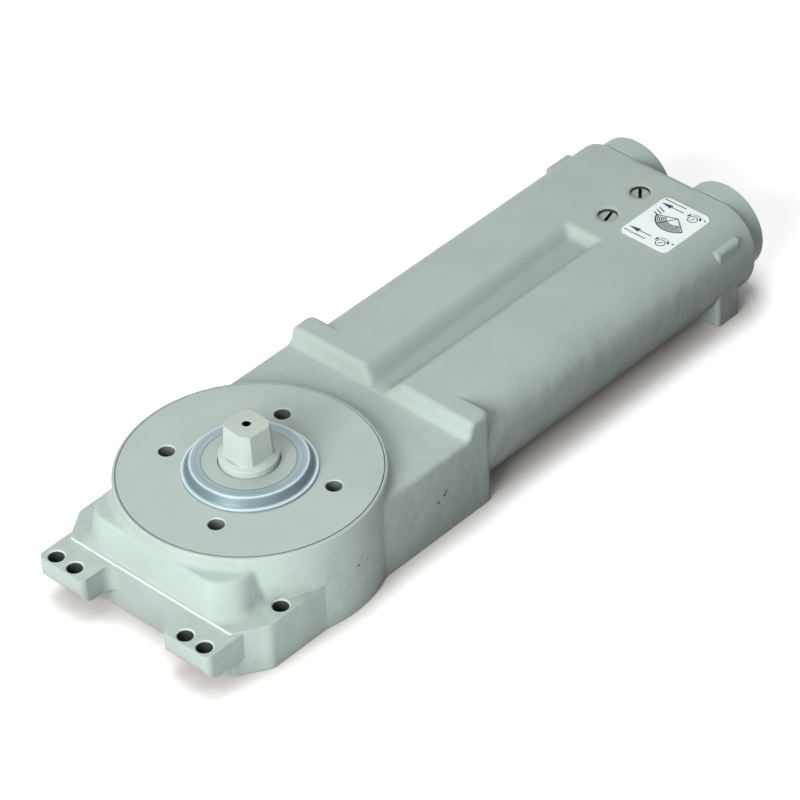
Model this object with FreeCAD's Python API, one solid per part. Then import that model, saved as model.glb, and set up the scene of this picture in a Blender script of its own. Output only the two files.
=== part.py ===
"""Transom door closer: a twin-barrel hydraulic door closer that hides in the header above a door.

Frame: origin on the spindle axis in the plane of the base, +X along the barrels towards the end plugs,
+Y to the left barrel, +Z up the spindle. Millimetres.
"""
import FreeCAD, Part
import math
import os

Vector = FreeCAD.Vector
AXIS_X = Vector(1, 0, 0)
AXIS_Y = Vector(0, 1, 0)
AXIS_Z = Vector(0, 0, 1)
SIDES = {"left": 1, "right": -1}

# Clearances
RUN_GAP = 0.06
FIT_GAP = 0.03
SEAT_GAP = 0.05
POCKET_GAP = 0.5
MARGIN = 1.0
EDGE_SAMPLES = 7

# Casting: stations along the body
SHOULDER_FOOT_X = 60.2
BODY_END_X = 208.2

# Casting: levels above the base
LEDGE_Z = 18.2
BARREL_Z = 20.4

# Casting: tower round the cover
RIM_WIDTH = 1.1
RIM_EDGE_R = 0.8
RIM_DROP = 0.15
RIM_STAND = 4.95
TOWER_BLEND_R = 2.5
TOWER_BULGE = 4.18
FRONT_REACH = 2.82

# Casting: block behind the tower, with the shoulders
BLOCK_EDGE_R = 2.0
BLOCK_CORNER_R = 3.0
SHOULDER_LEAN = 1.5
SHOULDER_LENGTH = 9.7
SHOULDER_BLEND_R = 2.5

# Casting: upper tier at the front
TIER_FOOT_HALF_Y = 34.0
TIER_SIDE_DRAFT = 2.0
TIER_CORNER_R = 11.0
TIER_TOP_SETBACK = 2.5
TIER_FOOT_FLARE = 2.2
TIER_FLARE_HEIGHT = 2.6
TIER_EDGE_R = 1.4
TIER_BLEND_R = 2.0

# Casting: ears and corner bosses at the front
EAR_OUTER_Y = 38.4
EAR_WIDTH = 20.5
EAR_REACH = 12.7
EAR_STEP = 0.8
EAR_THICKNESS = 10.0
EAR_CORNER_R = 2.5
EAR_LOWER_R = 5.0
EAR_ROOT_R = 4.0
EAR_HOLE_SETBACK = 3.8
EAR_HOLE_INSET = 4.9
EAR_HOLE_PITCH = 8.5
FIXING_HOLE_R = 2.75
HOLE_CHAMFER = 0.4
FRONT_CORNER_R = 2.0
FRONT_CORNER_INSET = 2.2
BOSS_SETBACK = 11.1
BOSS_REACH = 2.6
BOSS_CORNER_R = 5.0
BOSS_HOLE_SETBACK = 9.0
BOSS_HOLE_INSET = 4.3

# Casting: barrels
BARREL_Y = 20.4
BARREL_R = 20.0
BARREL_PROUD = 0.6
BARREL_TOP_R = 15.0
BARREL_BOTTOM_R = 19.0
VALLEY_FOOT_Y = 12.0
VALLEY_TOP_Y = 4.0
VALLEY_DEPTH = 7.0
VALLEY_FOOT_R = 8.0
VALLEY_TOP_R = 2.0
GROOVE_RISE = 0.25
GROOVE_CLIMB = 1.9
GROOVE_HALF_TOP = 8.4
GROOVE_HALF_FLOOR = 2.4
GROOVE_EDGE_R = 2.5
GROOVE_END_SLOPE = 2.4
GROOVE_END_R = 1.5
GROOVE_CORNER_R = 3.0
PLAIN_RUN = 43.9
BARREL_END_R = 1.0

# Casting: lugs beside the barrel ends
LUG_SETBACK = 7.6
LUG_LENGTH = 11.6
LUG_INSET = 0.8
LUG_DEPTH = 14.5
LUG_DROP = 5.35
LUG_EDGE_R = 1.5

# Cover plate
COVER_R = 43.65
COVER_THICKNESS = 7.65
COVER_HUB_WALL = 1.88
COVER_HUB_DEPTH = 2.8
HUB_CLEARANCE = 0.6
COVER_EDGE_CHAMFER = 0.35
PIN_HOLE_COUNT = 4
PIN_HOLE_CIRCLE_R = 29.0
PIN_HOLE_FIRST_DEG = 22.6
PIN_HOLE_R = 2.8
PIN_HOLE_DEPTH = 5.0
PIN_HOLE_CHAMFER = 0.25
COVER_SEAL_INSET = 3.65
COVER_SEAL_WIDTH = 2.4
COVER_SEAL_DEPTH = 1.6

# Bearing retainer ring and what it holds
RETAINER_BODY_R = 19.2
RETAINER_DEPTH = 2.75
RETAINER_LIP_WIDTH = 3.3
RETAINER_LIP_THICKNESS = 0.95
RETAINER_CREST_INSET = 2.9
RETAINER_CREST_HEIGHT = 4.05
RETAINER_BORE_R = 14.5
WASHER_STEP = 0.9
WASHER_THICKNESS = 1.4
WASHER_SINK = 0.1
LIP_SEAL_THICKNESS = 3.6

# Spindle
JOURNAL_R = 10.0
LOWER_JOURNAL_R = 7.0
HEAD_STAND = 3.1
HEAD_LENGTH = 11.4
HEAD_CORNER_R = 8.3
HEAD_FOOT_BLEND = 0.9
HEAD_TURN_DEG = -4.5
FLATS_TOP = 12.6
FLATS_FOOT = 14.2
HEAD_EDGE_R = 0.4
CENTRE_HOLE_R = 1.5
CENTRE_HOLE_DEPTH = 5.0

# Rack and pinion
MODULE = 1.0
PINION_TEETH = 16
PRESSURE_DEG = 20.0
ADDENDUM = 0.8
DEDENDUM = 1.1
BACKLASH = 0.2
FLANK_STEPS = 4
PINION_FACE = 12.0
SWING_DEG = 130.0
RACK_HALF_HEIGHT = 4.8
RACK_DEPTH = 8.0
RACK_TOOTH_COUNT = 17
RACK_TIP_SLACK = 0.6
FRONT_WALL = 4.0

# Bearings under and round the spindle
FLOOR_WALL = 2.8
THRUST_THICKNESS = 1.6
BUSH_WALL = 2.5
BUSH_LENGTH = 7.4
ROLLER_COUNT = 14
ROLLER_R = 1.7
CUP_WALL = 2.4
CUP_LENGTH = 7.4
CUP_LIP = 0.8
CHAMBER_GAP = 0.7

# Pistons
PISTON_R = 13.95
PISTON_LENGTH = 22.0
PISTON_SPIGOT_R = 7.6
PISTON_SPIGOT_LENGTH = 5.0
PISTON_EDGE_CHAMFER = 0.8
BORE_WALL = 1.5
RING_OFFSET = 10.0
RING_WIDTH = 2.6
RING_DEPTH = 1.7
CHECK_PORT_R = 1.5
CHECK_BORE_R = 3.0
CHECK_BALL_R = 2.4
CHECK_SEAT_DEPTH = 10.0
CHECK_RETAINER_LENGTH = 4.0
CHECK_RETAINER_HOLE_R = 1.2
CHECK_BALL_PLAY = 0.7

# Springs and end plugs
SPRING_SLACK = 1.7
SPRING_WIRE_WIDTH = 3.0
SPRING_WIRE_HEIGHT = 3.4
SPRING_TURNS = 8
SPRING_SEAT_THICKNESS = 2.0
SPRING_SEAT_HOLE_R = 5.0
PLUG_STEP = 0.55
PLUG_SPIGOT_LENGTH = 8.0
PLUG_CAP_OVERHANG = 2.15
PLUG_CAP_LENGTH = 8.5
PLUG_CAP_EDGE_R = 1.0
PLUG_HEX_ACROSS = 14.0
PLUG_HEX_DEPTH = 6.0
PLUG_RING_OFFSET = 3.0
PLUG_RING_WIDTH = 2.4
PLUG_RING_DEPTH = 1.6

# Speed valves and their label
VALVE_SETBACK = {"closing_speed_valve": 31.2, "latching_speed_valve": 14.0}
VALVE_SLOT_DEG = {"closing_speed_valve": 15.0, "latching_speed_valve": 39.0}
VALVE_HEAD_R = 3.4
VALVE_HEAD_LENGTH = 5.6
VALVE_SINK = 1.1
VALVE_CHAMFER = 0.3
VALVE_STEM_R = 2.0
VALVE_TIP_Z = 17.0
VALVE_TIP_TAPER = 3.0
VALVE_SLOT_WIDTH = 1.2
VALVE_SLOT_DEPTH = 1.6
VALVE_RING_DROP = 3.2
VALVE_RING_WIDTH = 1.6
VALVE_RING_DEPTH = 1.0
VALVE_PORT_R = 0.9
VALVE_PORT_Z = 19.0
LABEL_SETBACK = 10.3
LABEL_LENGTH = 25.6
LABEL_OFFSET = 8.8
LABEL_WIDTH = 20.5
LABEL_CORNER_R = 2.5
LABEL_THICKNESS = 0.25

# Levels and stations that follow from the sizes above
PITCH_R = MODULE * PINION_TEETH / 2
TRAVEL = PITCH_R * math.radians(SWING_DEG)
HUB_Z = BARREL_Z + RACK_HALF_HEIGHT + HUB_CLEARANCE
COVER_SEAT_Z = HUB_Z + COVER_HUB_DEPTH
COVER_TOP_Z = COVER_SEAT_Z + COVER_THICKNESS
TOP_Z = COVER_TOP_Z + BARREL_PROUD
PLATEAU_Z = COVER_TOP_Z - RIM_STAND
TOWER_TOP_Z = COVER_TOP_Z - RIM_DROP
RIM_R = COVER_R + FIT_GAP + RIM_WIDTH
FRONT_X = -RIM_R - FRONT_REACH
BLOCK_HALF_Y = RIM_R - TOWER_BULGE
BOSS_HALF_Y = BLOCK_HALF_Y + BOSS_REACH
EAR_TOP_Z = LEDGE_Z - EAR_STEP
EAR_TIP_X = FRONT_X - EAR_REACH
EAR_INNER_Y = EAR_OUTER_Y - EAR_WIDTH
EAR_HOLE_OUTER_Y = EAR_OUTER_Y - EAR_HOLE_INSET
BOSS_FRONT_X = FRONT_X + BOSS_SETBACK
SHOULDER_TOP_X = SHOULDER_FOOT_X + SHOULDER_LEAN
BLOCK_END_X = SHOULDER_TOP_X + SHOULDER_LENGTH
GROOVE_END_X = BODY_END_X - PLAIN_RUN
GROOVE_FLOOR_Z = PLATEAU_Z + GROOVE_RISE
LUG_REAR_X = BODY_END_X - LUG_SETBACK
LUG_HALF_Y = BARREL_Y + BARREL_R - LUG_INSET
RETAINER_SEAT_Z = COVER_TOP_Z - RETAINER_DEPTH
RETAINER_LIP_R = RETAINER_BODY_R + RETAINER_LIP_WIDTH
RETAINER_CREST_R = RETAINER_LIP_R - RETAINER_CREST_INSET
CREST_Z = COVER_TOP_Z + RETAINER_CREST_HEIGHT
WASHER_R = RETAINER_BORE_R + WASHER_STEP
WASHER_TOP_Z = CREST_Z - WASHER_SINK
WASHER_SEAT_Z = WASHER_TOP_Z - WASHER_THICKNESS
FLAT_FOOT_Z = CREST_Z + HEAD_STAND
HEAD_TOP_Z = FLAT_FOOT_Z + HEAD_LENGTH
COVER_SEAL_R = COVER_R - COVER_SEAL_INSET
CUP_BORE_R = JOURNAL_R + 2 * (ROLLER_R + RUN_GAP)
CUP_R = CUP_BORE_R + CUP_WALL
CUP_Z = RETAINER_SEAT_Z - CUP_LENGTH
COVER_HUB_R = CUP_R + COVER_HUB_WALL
CHAMBER_R = COVER_HUB_R + CHAMBER_GAP
PINION_TOP_Z = BARREL_Z + PINION_FACE / 2
PINION_Z = BARREL_Z - PINION_FACE / 2
SPINDLE_Z = FLOOR_WALL + THRUST_THICKNESS + SEAT_GAP
BUSH_R = LOWER_JOURNAL_R + RUN_GAP + BUSH_WALL
BUSH_Z = SPINDLE_Z
CHAMBER_Z = BUSH_Z + BUSH_LENGTH
RACK_TIP_Y = PITCH_R - ADDENDUM * MODULE
RACK_ROOT_Y = PITCH_R + DEDENDUM * MODULE
RACK_BACK_Y = RACK_ROOT_Y + RACK_DEPTH
RACK_FRONT_X = FRONT_X + FRONT_WALL + POCKET_GAP + TRAVEL
BORE_R = PISTON_R + SEAT_GAP
BORE_X = SHOULDER_TOP_X + BORE_WALL
SPRING_R = BORE_R - SPRING_SLACK
PISTON_FRONT_X = BORE_X + POCKET_GAP + TRAVEL
PISTON_BACK_X = PISTON_FRONT_X + PISTON_LENGTH
PLUG_INNER_X = BODY_END_X - PLUG_SPIGOT_LENGTH
PLUG_SPIGOT_R = BORE_R + PLUG_STEP
PLUG_CAP_R = PLUG_SPIGOT_R + PLUG_CAP_OVERHANG
SPRING_SEAT_X = PLUG_INNER_X - SPRING_SEAT_THICKNESS
VALVE_X = {name: BODY_END_X - setback for name, setback in VALVE_SETBACK.items()}
VALVE_TOP_Z = TOP_Z - VALVE_SINK
VALVE_STEP_Z = VALVE_TOP_Z - VALVE_HEAD_LENGTH


def rounded_wire(corners, place):
    """Close a wire through (u, v, radius) corners, rounding each corner with a tangent arc."""
    flat = [Vector(u, v, 0) for u, v, _ in corners]
    stops = []
    for index, (_, _, radius) in enumerate(corners):
        corner = flat[index]
        back = (flat[index - 1] - corner).normalize()
        ahead = (flat[(index + 1) % len(flat)] - corner).normalize()
        if radius == 0:
            stops.append((corner, None, corner))
            continue
        half = back.getAngle(ahead) / 2
        reach = radius / math.tan(half)
        bisector = (back + ahead).normalize()
        middle = corner + bisector * (radius / math.sin(half) - radius)
        stops.append((corner + back * reach, middle, corner + ahead * reach))

    def put(point):
        return place(point.x, point.y)

    edges = []
    for index, (start, middle, end) in enumerate(stops):
        if middle is not None:
            edges.append(Part.Arc(put(start), put(middle), put(end)).toShape())
        following = stops[(index + 1) % len(stops)][0]
        if (following - end).Length > 1e-7:
            edges.append(Part.LineSegment(put(end), put(following)).toShape())
    return Part.Wire(edges)


def mirrored(half):
    """Complete a half profile of (y, z, radius) corners by its mirror image in y = 0."""
    return half + [(-y, z, radius) for y, z, radius in reversed(half)]


def prism_x(corners, start, end):
    """Extrude a (y, z, radius) profile along X."""
    wire = rounded_wire(corners, lambda y, z: Vector(start, y, z))
    return Part.Face(wire).extrude(Vector(end - start, 0, 0))


def prism_y(corners, start, end):
    """Extrude an (x, z, radius) profile along Y."""
    wire = rounded_wire(corners, lambda x, z: Vector(x, start, z))
    return Part.Face(wire).extrude(Vector(0, end - start, 0))


def prism_z(corners, start, end):
    """Extrude an (x, y, radius) outline along Z."""
    wire = rounded_wire(corners, lambda x, y: Vector(x, y, start))
    return Part.Face(wire).extrude(Vector(0, 0, end - start))


def rectangle(low_u, low_v, high_u, high_v, radius=0.0):
    """Corners of a rectangle whose corners share one radius."""
    return [
        (low_u, low_v, radius),
        (high_u, low_v, radius),
        (high_u, high_v, radius),
        (low_u, high_v, radius),
    ]


def turned(corners):
    """Revolve an (r, z, radius) profile about the Z axis."""
    wire = rounded_wire(corners, lambda r, z: Vector(r, 0, z))
    return Part.Face(wire).revolve(Vector(0, 0, 0), AXIS_Z, 360)


def turned_on_barrel(corners, side):
    """Revolve an (r, x, radius) profile about the axis of one barrel."""
    wire = rounded_wire(corners, lambda r, x: Vector(x, side * BARREL_Y + r, BARREL_Z))
    return Part.Face(wire).revolve(Vector(0, side * BARREL_Y, BARREL_Z), AXIS_X, 360)


def post(radius, low, high, x=0.0, y=0.0):
    """Make an upright cylinder between two levels."""
    return Part.makeCylinder(radius, high - low, Vector(x, y, low), AXIS_Z)


def bar_x(radius, start, end, side):
    """Make a cylinder along one barrel's axis."""
    return Part.makeCylinder(radius, end - start, Vector(start, side * BARREL_Y, BARREL_Z), AXIS_X)


def block(low, high):
    """Make a box between two corners."""
    size = [b - a for a, b in zip(low, high)]
    return Part.makeBox(*size, Vector(*low))


def drilled(radius, low, top, chamfer, x, y):
    """Cutter for a hole that opens with a chamfer in the face at the given level."""
    corners = [
        (0, low, 0),
        (radius, low, 0),
        (radius, top - chamfer, 0),
        (radius + chamfer, top, 0),
        (radius + chamfer, top + MARGIN, 0),
        (0, top + MARGIN, 0),
    ]
    hole = turned(corners)
    hole.translate(Vector(x, y, 0))
    return hole


def edges_where(shape, inside):
    """Edges of a shape whose points all pass a test."""
    whole = [edge for edge in shape.Edges if not edge.Degenerated]
    return [edge for edge in whole if all(inside(point) for point in edge.discretize(EDGE_SAMPLES))]


def ring(outer, inner, low, high):
    """Corners of a plain ring's section, for turning."""
    return rectangle(inner, low, outer, high)


def barrel_section(grow=0.0):
    """Section of the twin barrels, flat on top and round to the hollow between them on the underside."""
    outer = BARREL_Y + BARREL_R + grow
    return mirrored([
        (outer, TOP_Z + grow, BARREL_TOP_R + grow),
        (outer, 0, BARREL_BOTTOM_R),
        (VALLEY_FOOT_Y, 0, VALLEY_FOOT_R),
        (VALLEY_TOP_Y, VALLEY_DEPTH, VALLEY_TOP_R),
    ])


def groove():
    """Cutter for the groove between the barrels: rounded edges, a floor that climbs and a sloped end."""
    edge_y = GROOVE_HALF_TOP + GROOVE_EDGE_R
    slope = (GROOVE_HALF_TOP - GROOVE_HALF_FLOOR) / (TOP_Z - GROOVE_FLOOR_Z)
    across = prism_x(mirrored([
        (GROOVE_HALF_FLOOR - slope * MARGIN, GROOVE_FLOOR_Z - MARGIN, 0),
        (GROOVE_HALF_TOP, TOP_Z, GROOVE_EDGE_R),
        (edge_y, TOP_Z, 0),
        (edge_y, TOP_Z + MARGIN, 0),
    ]), SHOULDER_FOOT_X - SHOULDER_BLEND_R - MARGIN, GROOVE_END_X + GROOVE_EDGE_R)
    start = SHOULDER_FOOT_X - SHOULDER_BLEND_R - 2 * MARGIN
    along = prism_y([
        (start, GROOVE_FLOOR_Z, 0),
        (GROOVE_END_X - GROOVE_END_SLOPE, GROOVE_FLOOR_Z + GROOVE_CLIMB, GROOVE_END_R),
        (GROOVE_END_X, TOP_Z, GROOVE_END_R),
        (GROOVE_END_X + GROOVE_EDGE_R, TOP_Z, 0),
        (GROOVE_END_X + GROOVE_EDGE_R, TOP_Z + MARGIN, 0),
        (start, TOP_Z + MARGIN, 0),
    ], -edge_y - MARGIN, edge_y + MARGIN)
    return across.common(along)


def barrels():
    """Cast twin barrels, rounded at their end."""
    run = prism_x(barrel_section(), SHOULDER_TOP_X + SHOULDER_BLEND_R, BODY_END_X)
    end_edges = edges_where(run, lambda point: point.x > BODY_END_X - FIT_GAP)
    return run.makeFillet(BARREL_END_R, end_edges)


def shoulder_block():
    """Cast block behind the tower: the plateau and, behind it, the shoulders."""
    along = prism_y([
        (0, 0, 0),
        (BLOCK_END_X, 0, 0),
        (BLOCK_END_X, TOP_Z, 0),
        (SHOULDER_TOP_X, TOP_Z, SHOULDER_BLEND_R),
        (SHOULDER_FOOT_X, PLATEAU_Z, SHOULDER_BLEND_R),
        (0, PLATEAU_Z, 0),
    ], -BLOCK_HALF_Y - MARGIN, BLOCK_HALF_Y + MARGIN)
    plan = prism_z([
        (0, -BLOCK_HALF_Y, 0),
        (BLOCK_END_X, -BLOCK_HALF_Y, BLOCK_CORNER_R),
        (BLOCK_END_X, BLOCK_HALF_Y, BLOCK_CORNER_R),
        (0, BLOCK_HALF_Y, 0),
    ], 0, TOP_Z + MARGIN)
    solid = along.common(plan)
    return solid.makeFillet(BLOCK_EDGE_R, edges_where(solid, on_block_edge))


def on_tower_wall(point):
    """Tell a point of the tower's wall, up to the level of the plateau."""
    off_wall = abs(math.hypot(point.x, point.y) - RIM_R)
    return off_wall < FIT_GAP and point.z < PLATEAU_Z + FIT_GAP


def on_block_edge(point):
    """Tell a point of the block's upper edge, along its sides or round its end."""
    at_side = abs(abs(point.y) - BLOCK_HALF_Y) < FIT_GAP
    at_end = point.x > BLOCK_END_X - BLOCK_CORNER_R - FIT_GAP
    return point.z > PLATEAU_Z - FIT_GAP and (at_side or at_end)


def at_groove_mouth(point):
    """Tell a point of the edges where the groove runs out between the shoulders."""
    in_width = abs(point.y) < GROOVE_HALF_TOP + GROOVE_EDGE_R
    in_length = abs(point.x - SHOULDER_TOP_X) < SHOULDER_LEAN + SHOULDER_BLEND_R
    return in_width and in_length and point.z > PLATEAU_Z - FIT_GAP


def tower_on_block():
    """Cast tower round the cover, blended into the block."""
    tower = turned([(0, 0, 0), (RIM_R, 0, 0), (RIM_R, TOWER_TOP_Z, RIM_EDGE_R), (0, TOWER_TOP_Z, 0)])
    solid = tower.fuse(shoulder_block()).removeSplitter()
    seam = edges_where(solid, lambda point: on_tower_wall(point) and point.x > -FIT_GAP)
    above_base = [edge for edge in seam if edge.BoundBox.ZMax > FIT_GAP]
    return solid.makeFillet(TOWER_BLEND_R, above_base)


def upper_tier():
    """Cast step in front of the cover: drafted walls with a flared foot and a rounded top edge."""
    rear = 0.0
    slope = TIER_TOP_SETBACK / (PLATEAU_Z - LEDGE_Z)
    narrowing = TIER_SIDE_DRAFT / (PLATEAU_Z - LEDGE_Z)

    def outline(level, grow):
        rise = level - LEDGE_Z
        half = TIER_FOOT_HALF_Y - narrowing * rise + grow
        front = FRONT_X + slope * rise - grow
        corners = rectangle(front, -half, rear, half, TIER_CORNER_R + grow)
        return rounded_wire(corners, lambda x, y: Vector(x, y, level))

    wall = Part.makeLoft([outline(LEDGE_Z - MARGIN, 0), outline(PLATEAU_Z, 0)], True, True)
    top_edges = edges_where(wall, lambda point: point.z > PLATEAU_Z - FIT_GAP)
    wall = wall.makeFillet(TIER_EDGE_R, top_edges)
    steps = 4
    flare = []
    for step in range(steps + 1):
        turn = math.pi / 2 * step / steps
        level = LEDGE_Z + TIER_FLARE_HEIGHT * (1 - math.cos(turn))
        flare.append(outline(level, TIER_FOOT_FLARE * (1 - math.sin(turn))))
    foot = Part.makeLoft(flare, True, True)
    in_front = block((FRONT_X, -BOSS_HALF_Y, 0), (rear, BOSS_HALF_Y, PLATEAU_Z))
    return wall.fuse(foot.common(in_front))


def lower_tier():
    """Cast flange at the front: the wall behind the ears, slanted at each corner to the boss beside it."""
    half = [
        (0, BOSS_HALF_Y, 0),
        (BOSS_FRONT_X, BOSS_HALF_Y, BOSS_CORNER_R),
        (FRONT_X, EAR_OUTER_Y - FRONT_CORNER_INSET, FRONT_CORNER_R),
    ]
    outline = half + [(x, -y, radius) for x, y, radius in reversed(half)]
    return prism_z(outline, 0, LEDGE_Z)


def ear(side):
    """Cast fixing ear with a machined top, blended into the front wall beside it."""
    foot_z = EAR_TOP_Z - EAR_THICKNESS
    root_x = BOSS_FRONT_X
    plan = prism_z([
        (EAR_TIP_X, side * EAR_INNER_Y, EAR_CORNER_R),
        (FRONT_X, side * EAR_INNER_Y, EAR_ROOT_R),
        (FRONT_X, side * (EAR_INNER_Y - 2 * EAR_ROOT_R), 0),
        (root_x, side * (EAR_INNER_Y - 2 * EAR_ROOT_R), 0),
        (root_x, side * EAR_OUTER_Y, 0),
        (EAR_TIP_X, side * EAR_OUTER_Y, EAR_CORNER_R),
    ], foot_z, EAR_TOP_Z)
    profile = prism_y([
        (EAR_TIP_X, EAR_TOP_Z, 0),
        (EAR_TIP_X, foot_z, EAR_LOWER_R),
        (root_x, foot_z, 0),
        (root_x, EAR_TOP_Z, 0),
    ], -EAR_OUTER_Y - MARGIN, EAR_OUTER_Y + MARGIN)
    return plan.common(profile)


def lug(side):
    """Cast lug that squares off the outer side of one barrel near its end."""
    outside = side * LUG_HALF_Y
    inner, outer = sorted((outside - side * LUG_DEPTH, outside))
    solid = block((LUG_REAR_X - LUG_LENGTH, inner, 0), (LUG_REAR_X, outer, TOP_Z - LUG_DROP))
    rounded = edges_where(solid, lambda point: abs(point.y - outside) < FIT_GAP)
    above_base = [edge for edge in rounded if edge.BoundBox.ZMax > FIT_GAP]
    return solid.makeFillet(LUG_EDGE_R, above_base)


def fixing_holes():
    """Through holes of the ears and the corner bosses."""
    ear_x = EAR_TIP_X + EAR_HOLE_SETBACK
    boss_x = BOSS_FRONT_X + BOSS_HOLE_SETBACK
    places = []
    for side in SIDES.values():
        places.append((ear_x, side * (EAR_HOLE_OUTER_Y - EAR_HOLE_PITCH), EAR_TOP_Z))
        places.append((ear_x, side * EAR_HOLE_OUTER_Y, EAR_TOP_Z))
        places.append((boss_x, side * (BOSS_HALF_Y - BOSS_HOLE_INSET), LEDGE_Z))
    return [drilled(FIXING_HOLE_R, -MARGIN, top, HOLE_CHAMFER, x, y) for x, y, top in places]


def spindle_cavity():
    """Space for the cover, the spindle, its pinion and its lower bearing."""
    return [
        post(COVER_R + FIT_GAP, COVER_SEAT_Z, TOP_Z + MARGIN),
        post(CHAMBER_R, CHAMBER_Z, COVER_SEAT_Z + MARGIN),
        post(BUSH_R + FIT_GAP, FLOOR_WALL, CHAMBER_Z + MARGIN),
    ]


def cylinder_cavity(side):
    """Space for one rack, its piston, its spring and its end plug."""
    near, far = sorted((side * (RACK_TIP_Y - POCKET_GAP), side * (RACK_BACK_Y + POCKET_GAP)))
    reach = RACK_HALF_HEIGHT + POCKET_GAP
    pocket = block((FRONT_X + FRONT_WALL, near, BARREL_Z - reach), (BORE_X + MARGIN, far, BARREL_Z + reach))
    return [
        pocket,
        bar_x(BORE_R, BORE_X, BODY_END_X + MARGIN, side),
        bar_x(PLUG_SPIGOT_R + FIT_GAP, PLUG_INNER_X, BODY_END_X + MARGIN, side),
    ]


def valve_cavity(x):
    """Bore for one speed valve and the oil port that it throttles."""
    port = Part.makeCylinder(VALVE_PORT_R, 2 * BARREL_Y, Vector(x, -BARREL_Y, VALVE_PORT_Z), AXIS_Y)
    return [
        drilled(VALVE_HEAD_R + RUN_GAP, VALVE_STEP_Z - SEAT_GAP, TOP_Z, VALVE_CHAMFER, x, 0),
        post(VALVE_STEM_R + RUN_GAP, VALVE_TIP_Z - POCKET_GAP, VALVE_TOP_Z, x),
        port,
    ]


def casting():
    """Outside of the casting, before it is bored."""
    solid = tower_on_block().fuse(upper_tier()).removeSplitter()
    seam = edges_where(solid, lambda point: on_tower_wall(point) and point.x < 0 and point.z > LEDGE_Z)
    solid = solid.makeFillet(TIER_BLEND_R, seam)
    solid = solid.fuse(barrels()).cut(groove()).removeSplitter()
    solid = solid.makeFillet(GROOVE_CORNER_R, edges_where(solid, at_groove_mouth))
    added = [lower_tier()]
    for side in SIDES.values():
        added += [ear(side), lug(side)]
    return solid.multiFuse(added).removeSplitter()


def housing():
    """The casting that everything else is fitted into, bored for what it holds."""
    cuts = spindle_cavity() + fixing_holes()
    for side in SIDES.values():
        cuts += cylinder_cavity(side)
    for x in VALVE_X.values():
        cuts += valve_cavity(x)
    return casting().cut(cuts).removeSplitter()


def cover_plate():
    """Round screwed-in cover with its bearing hub, pin-wrench holes and seal groove."""
    seat_r = CUP_R + FIT_GAP
    solid = turned([
        (seat_r, HUB_Z, 0),
        (COVER_HUB_R, HUB_Z, 0),
        (COVER_HUB_R, COVER_SEAT_Z, 0),
        (COVER_R, COVER_SEAT_Z, 0),
        (COVER_R, COVER_TOP_Z - COVER_EDGE_CHAMFER, 0),
        (COVER_R - COVER_EDGE_CHAMFER, COVER_TOP_Z, 0),
        (RETAINER_BODY_R + FIT_GAP, COVER_TOP_Z, 0),
        (RETAINER_BODY_R + FIT_GAP, RETAINER_SEAT_Z, 0),
        (seat_r, RETAINER_SEAT_Z, 0),
    ])
    seal_groove = turned(ring(COVER_SEAL_R, COVER_SEAL_R - COVER_SEAL_WIDTH,
                              COVER_SEAT_Z, COVER_SEAT_Z + COVER_SEAL_DEPTH))
    holes = []
    for index in range(PIN_HOLE_COUNT):
        angle = math.radians(PIN_HOLE_FIRST_DEG + index * 360 / PIN_HOLE_COUNT)
        holes.append(drilled(PIN_HOLE_R, COVER_TOP_Z - PIN_HOLE_DEPTH, COVER_TOP_Z, PIN_HOLE_CHAMFER,
                             PIN_HOLE_CIRCLE_R * math.cos(angle), PIN_HOLE_CIRCLE_R * math.sin(angle)))
    return solid.cut([seal_groove] + holes)


def cover_seal():
    """Flat sealing ring in the groove under the cover plate."""
    return turned(ring(COVER_SEAL_R - FIT_GAP, COVER_SEAL_R - COVER_SEAL_WIDTH + FIT_GAP,
                       COVER_SEAT_Z, COVER_SEAT_Z + COVER_SEAL_DEPTH))


def retainer_ring():
    """Plated ring that closes the bearing: a lip on the cover, a hollow flank, a crest and an inner dish."""
    lip_z = COVER_TOP_Z + RETAINER_LIP_THICKNESS
    washer_bore = WASHER_R + FIT_GAP
    flank_r = RETAINER_CREST_R + (RETAINER_LIP_R - RETAINER_CREST_R) / 2
    return turned([
        (RETAINER_BORE_R, RETAINER_SEAT_Z, 0),
        (RETAINER_BODY_R, RETAINER_SEAT_Z, 0),
        (RETAINER_BODY_R, COVER_TOP_Z, 0),
        (RETAINER_LIP_R, COVER_TOP_Z, 0),
        (RETAINER_LIP_R, lip_z, RETAINER_LIP_THICKNESS / 3),
        (flank_r, lip_z, RETAINER_LIP_THICKNESS),
        (RETAINER_CREST_R, CREST_Z, RETAINER_LIP_THICKNESS / 2),
        (washer_bore, WASHER_TOP_Z, 0),
        (washer_bore, WASHER_SEAT_Z, 0),
        (RETAINER_BORE_R, WASHER_SEAT_Z, 0),
    ])


def spindle_washer():
    """Dust washer that rests on the step inside the retainer ring."""
    return turned([
        (JOURNAL_R + POCKET_GAP / 2, WASHER_SEAT_Z, 0),
        (WASHER_R, WASHER_SEAT_Z, 0),
        (WASHER_R, WASHER_TOP_Z, 0),
        (JOURNAL_R + POCKET_GAP / 2, WASHER_TOP_Z, 0),
    ])


def lip_seal():
    """Oil seal round the journal, with a case on the retainer's bore and a lip that wipes the journal."""
    outer = RETAINER_BORE_R - FIT_GAP
    top = RETAINER_SEAT_Z + LIP_SEAL_THICKNESS
    wall = LIP_SEAL_THICKNESS / 3
    return turned([
        (JOURNAL_R + RUN_GAP, RETAINER_SEAT_Z, 0),
        (JOURNAL_R + wall, RETAINER_SEAT_Z + wall, 0),
        (outer - wall, RETAINER_SEAT_Z + wall * 2, 0),
        (outer - wall, RETAINER_SEAT_Z, 0),
        (outer, RETAINER_SEAT_Z, 0),
        (outer, top, 0),
        (JOURNAL_R + wall, top, 0),
        (JOURNAL_R + RUN_GAP, RETAINER_SEAT_Z + wall, 0),
    ])


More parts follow.
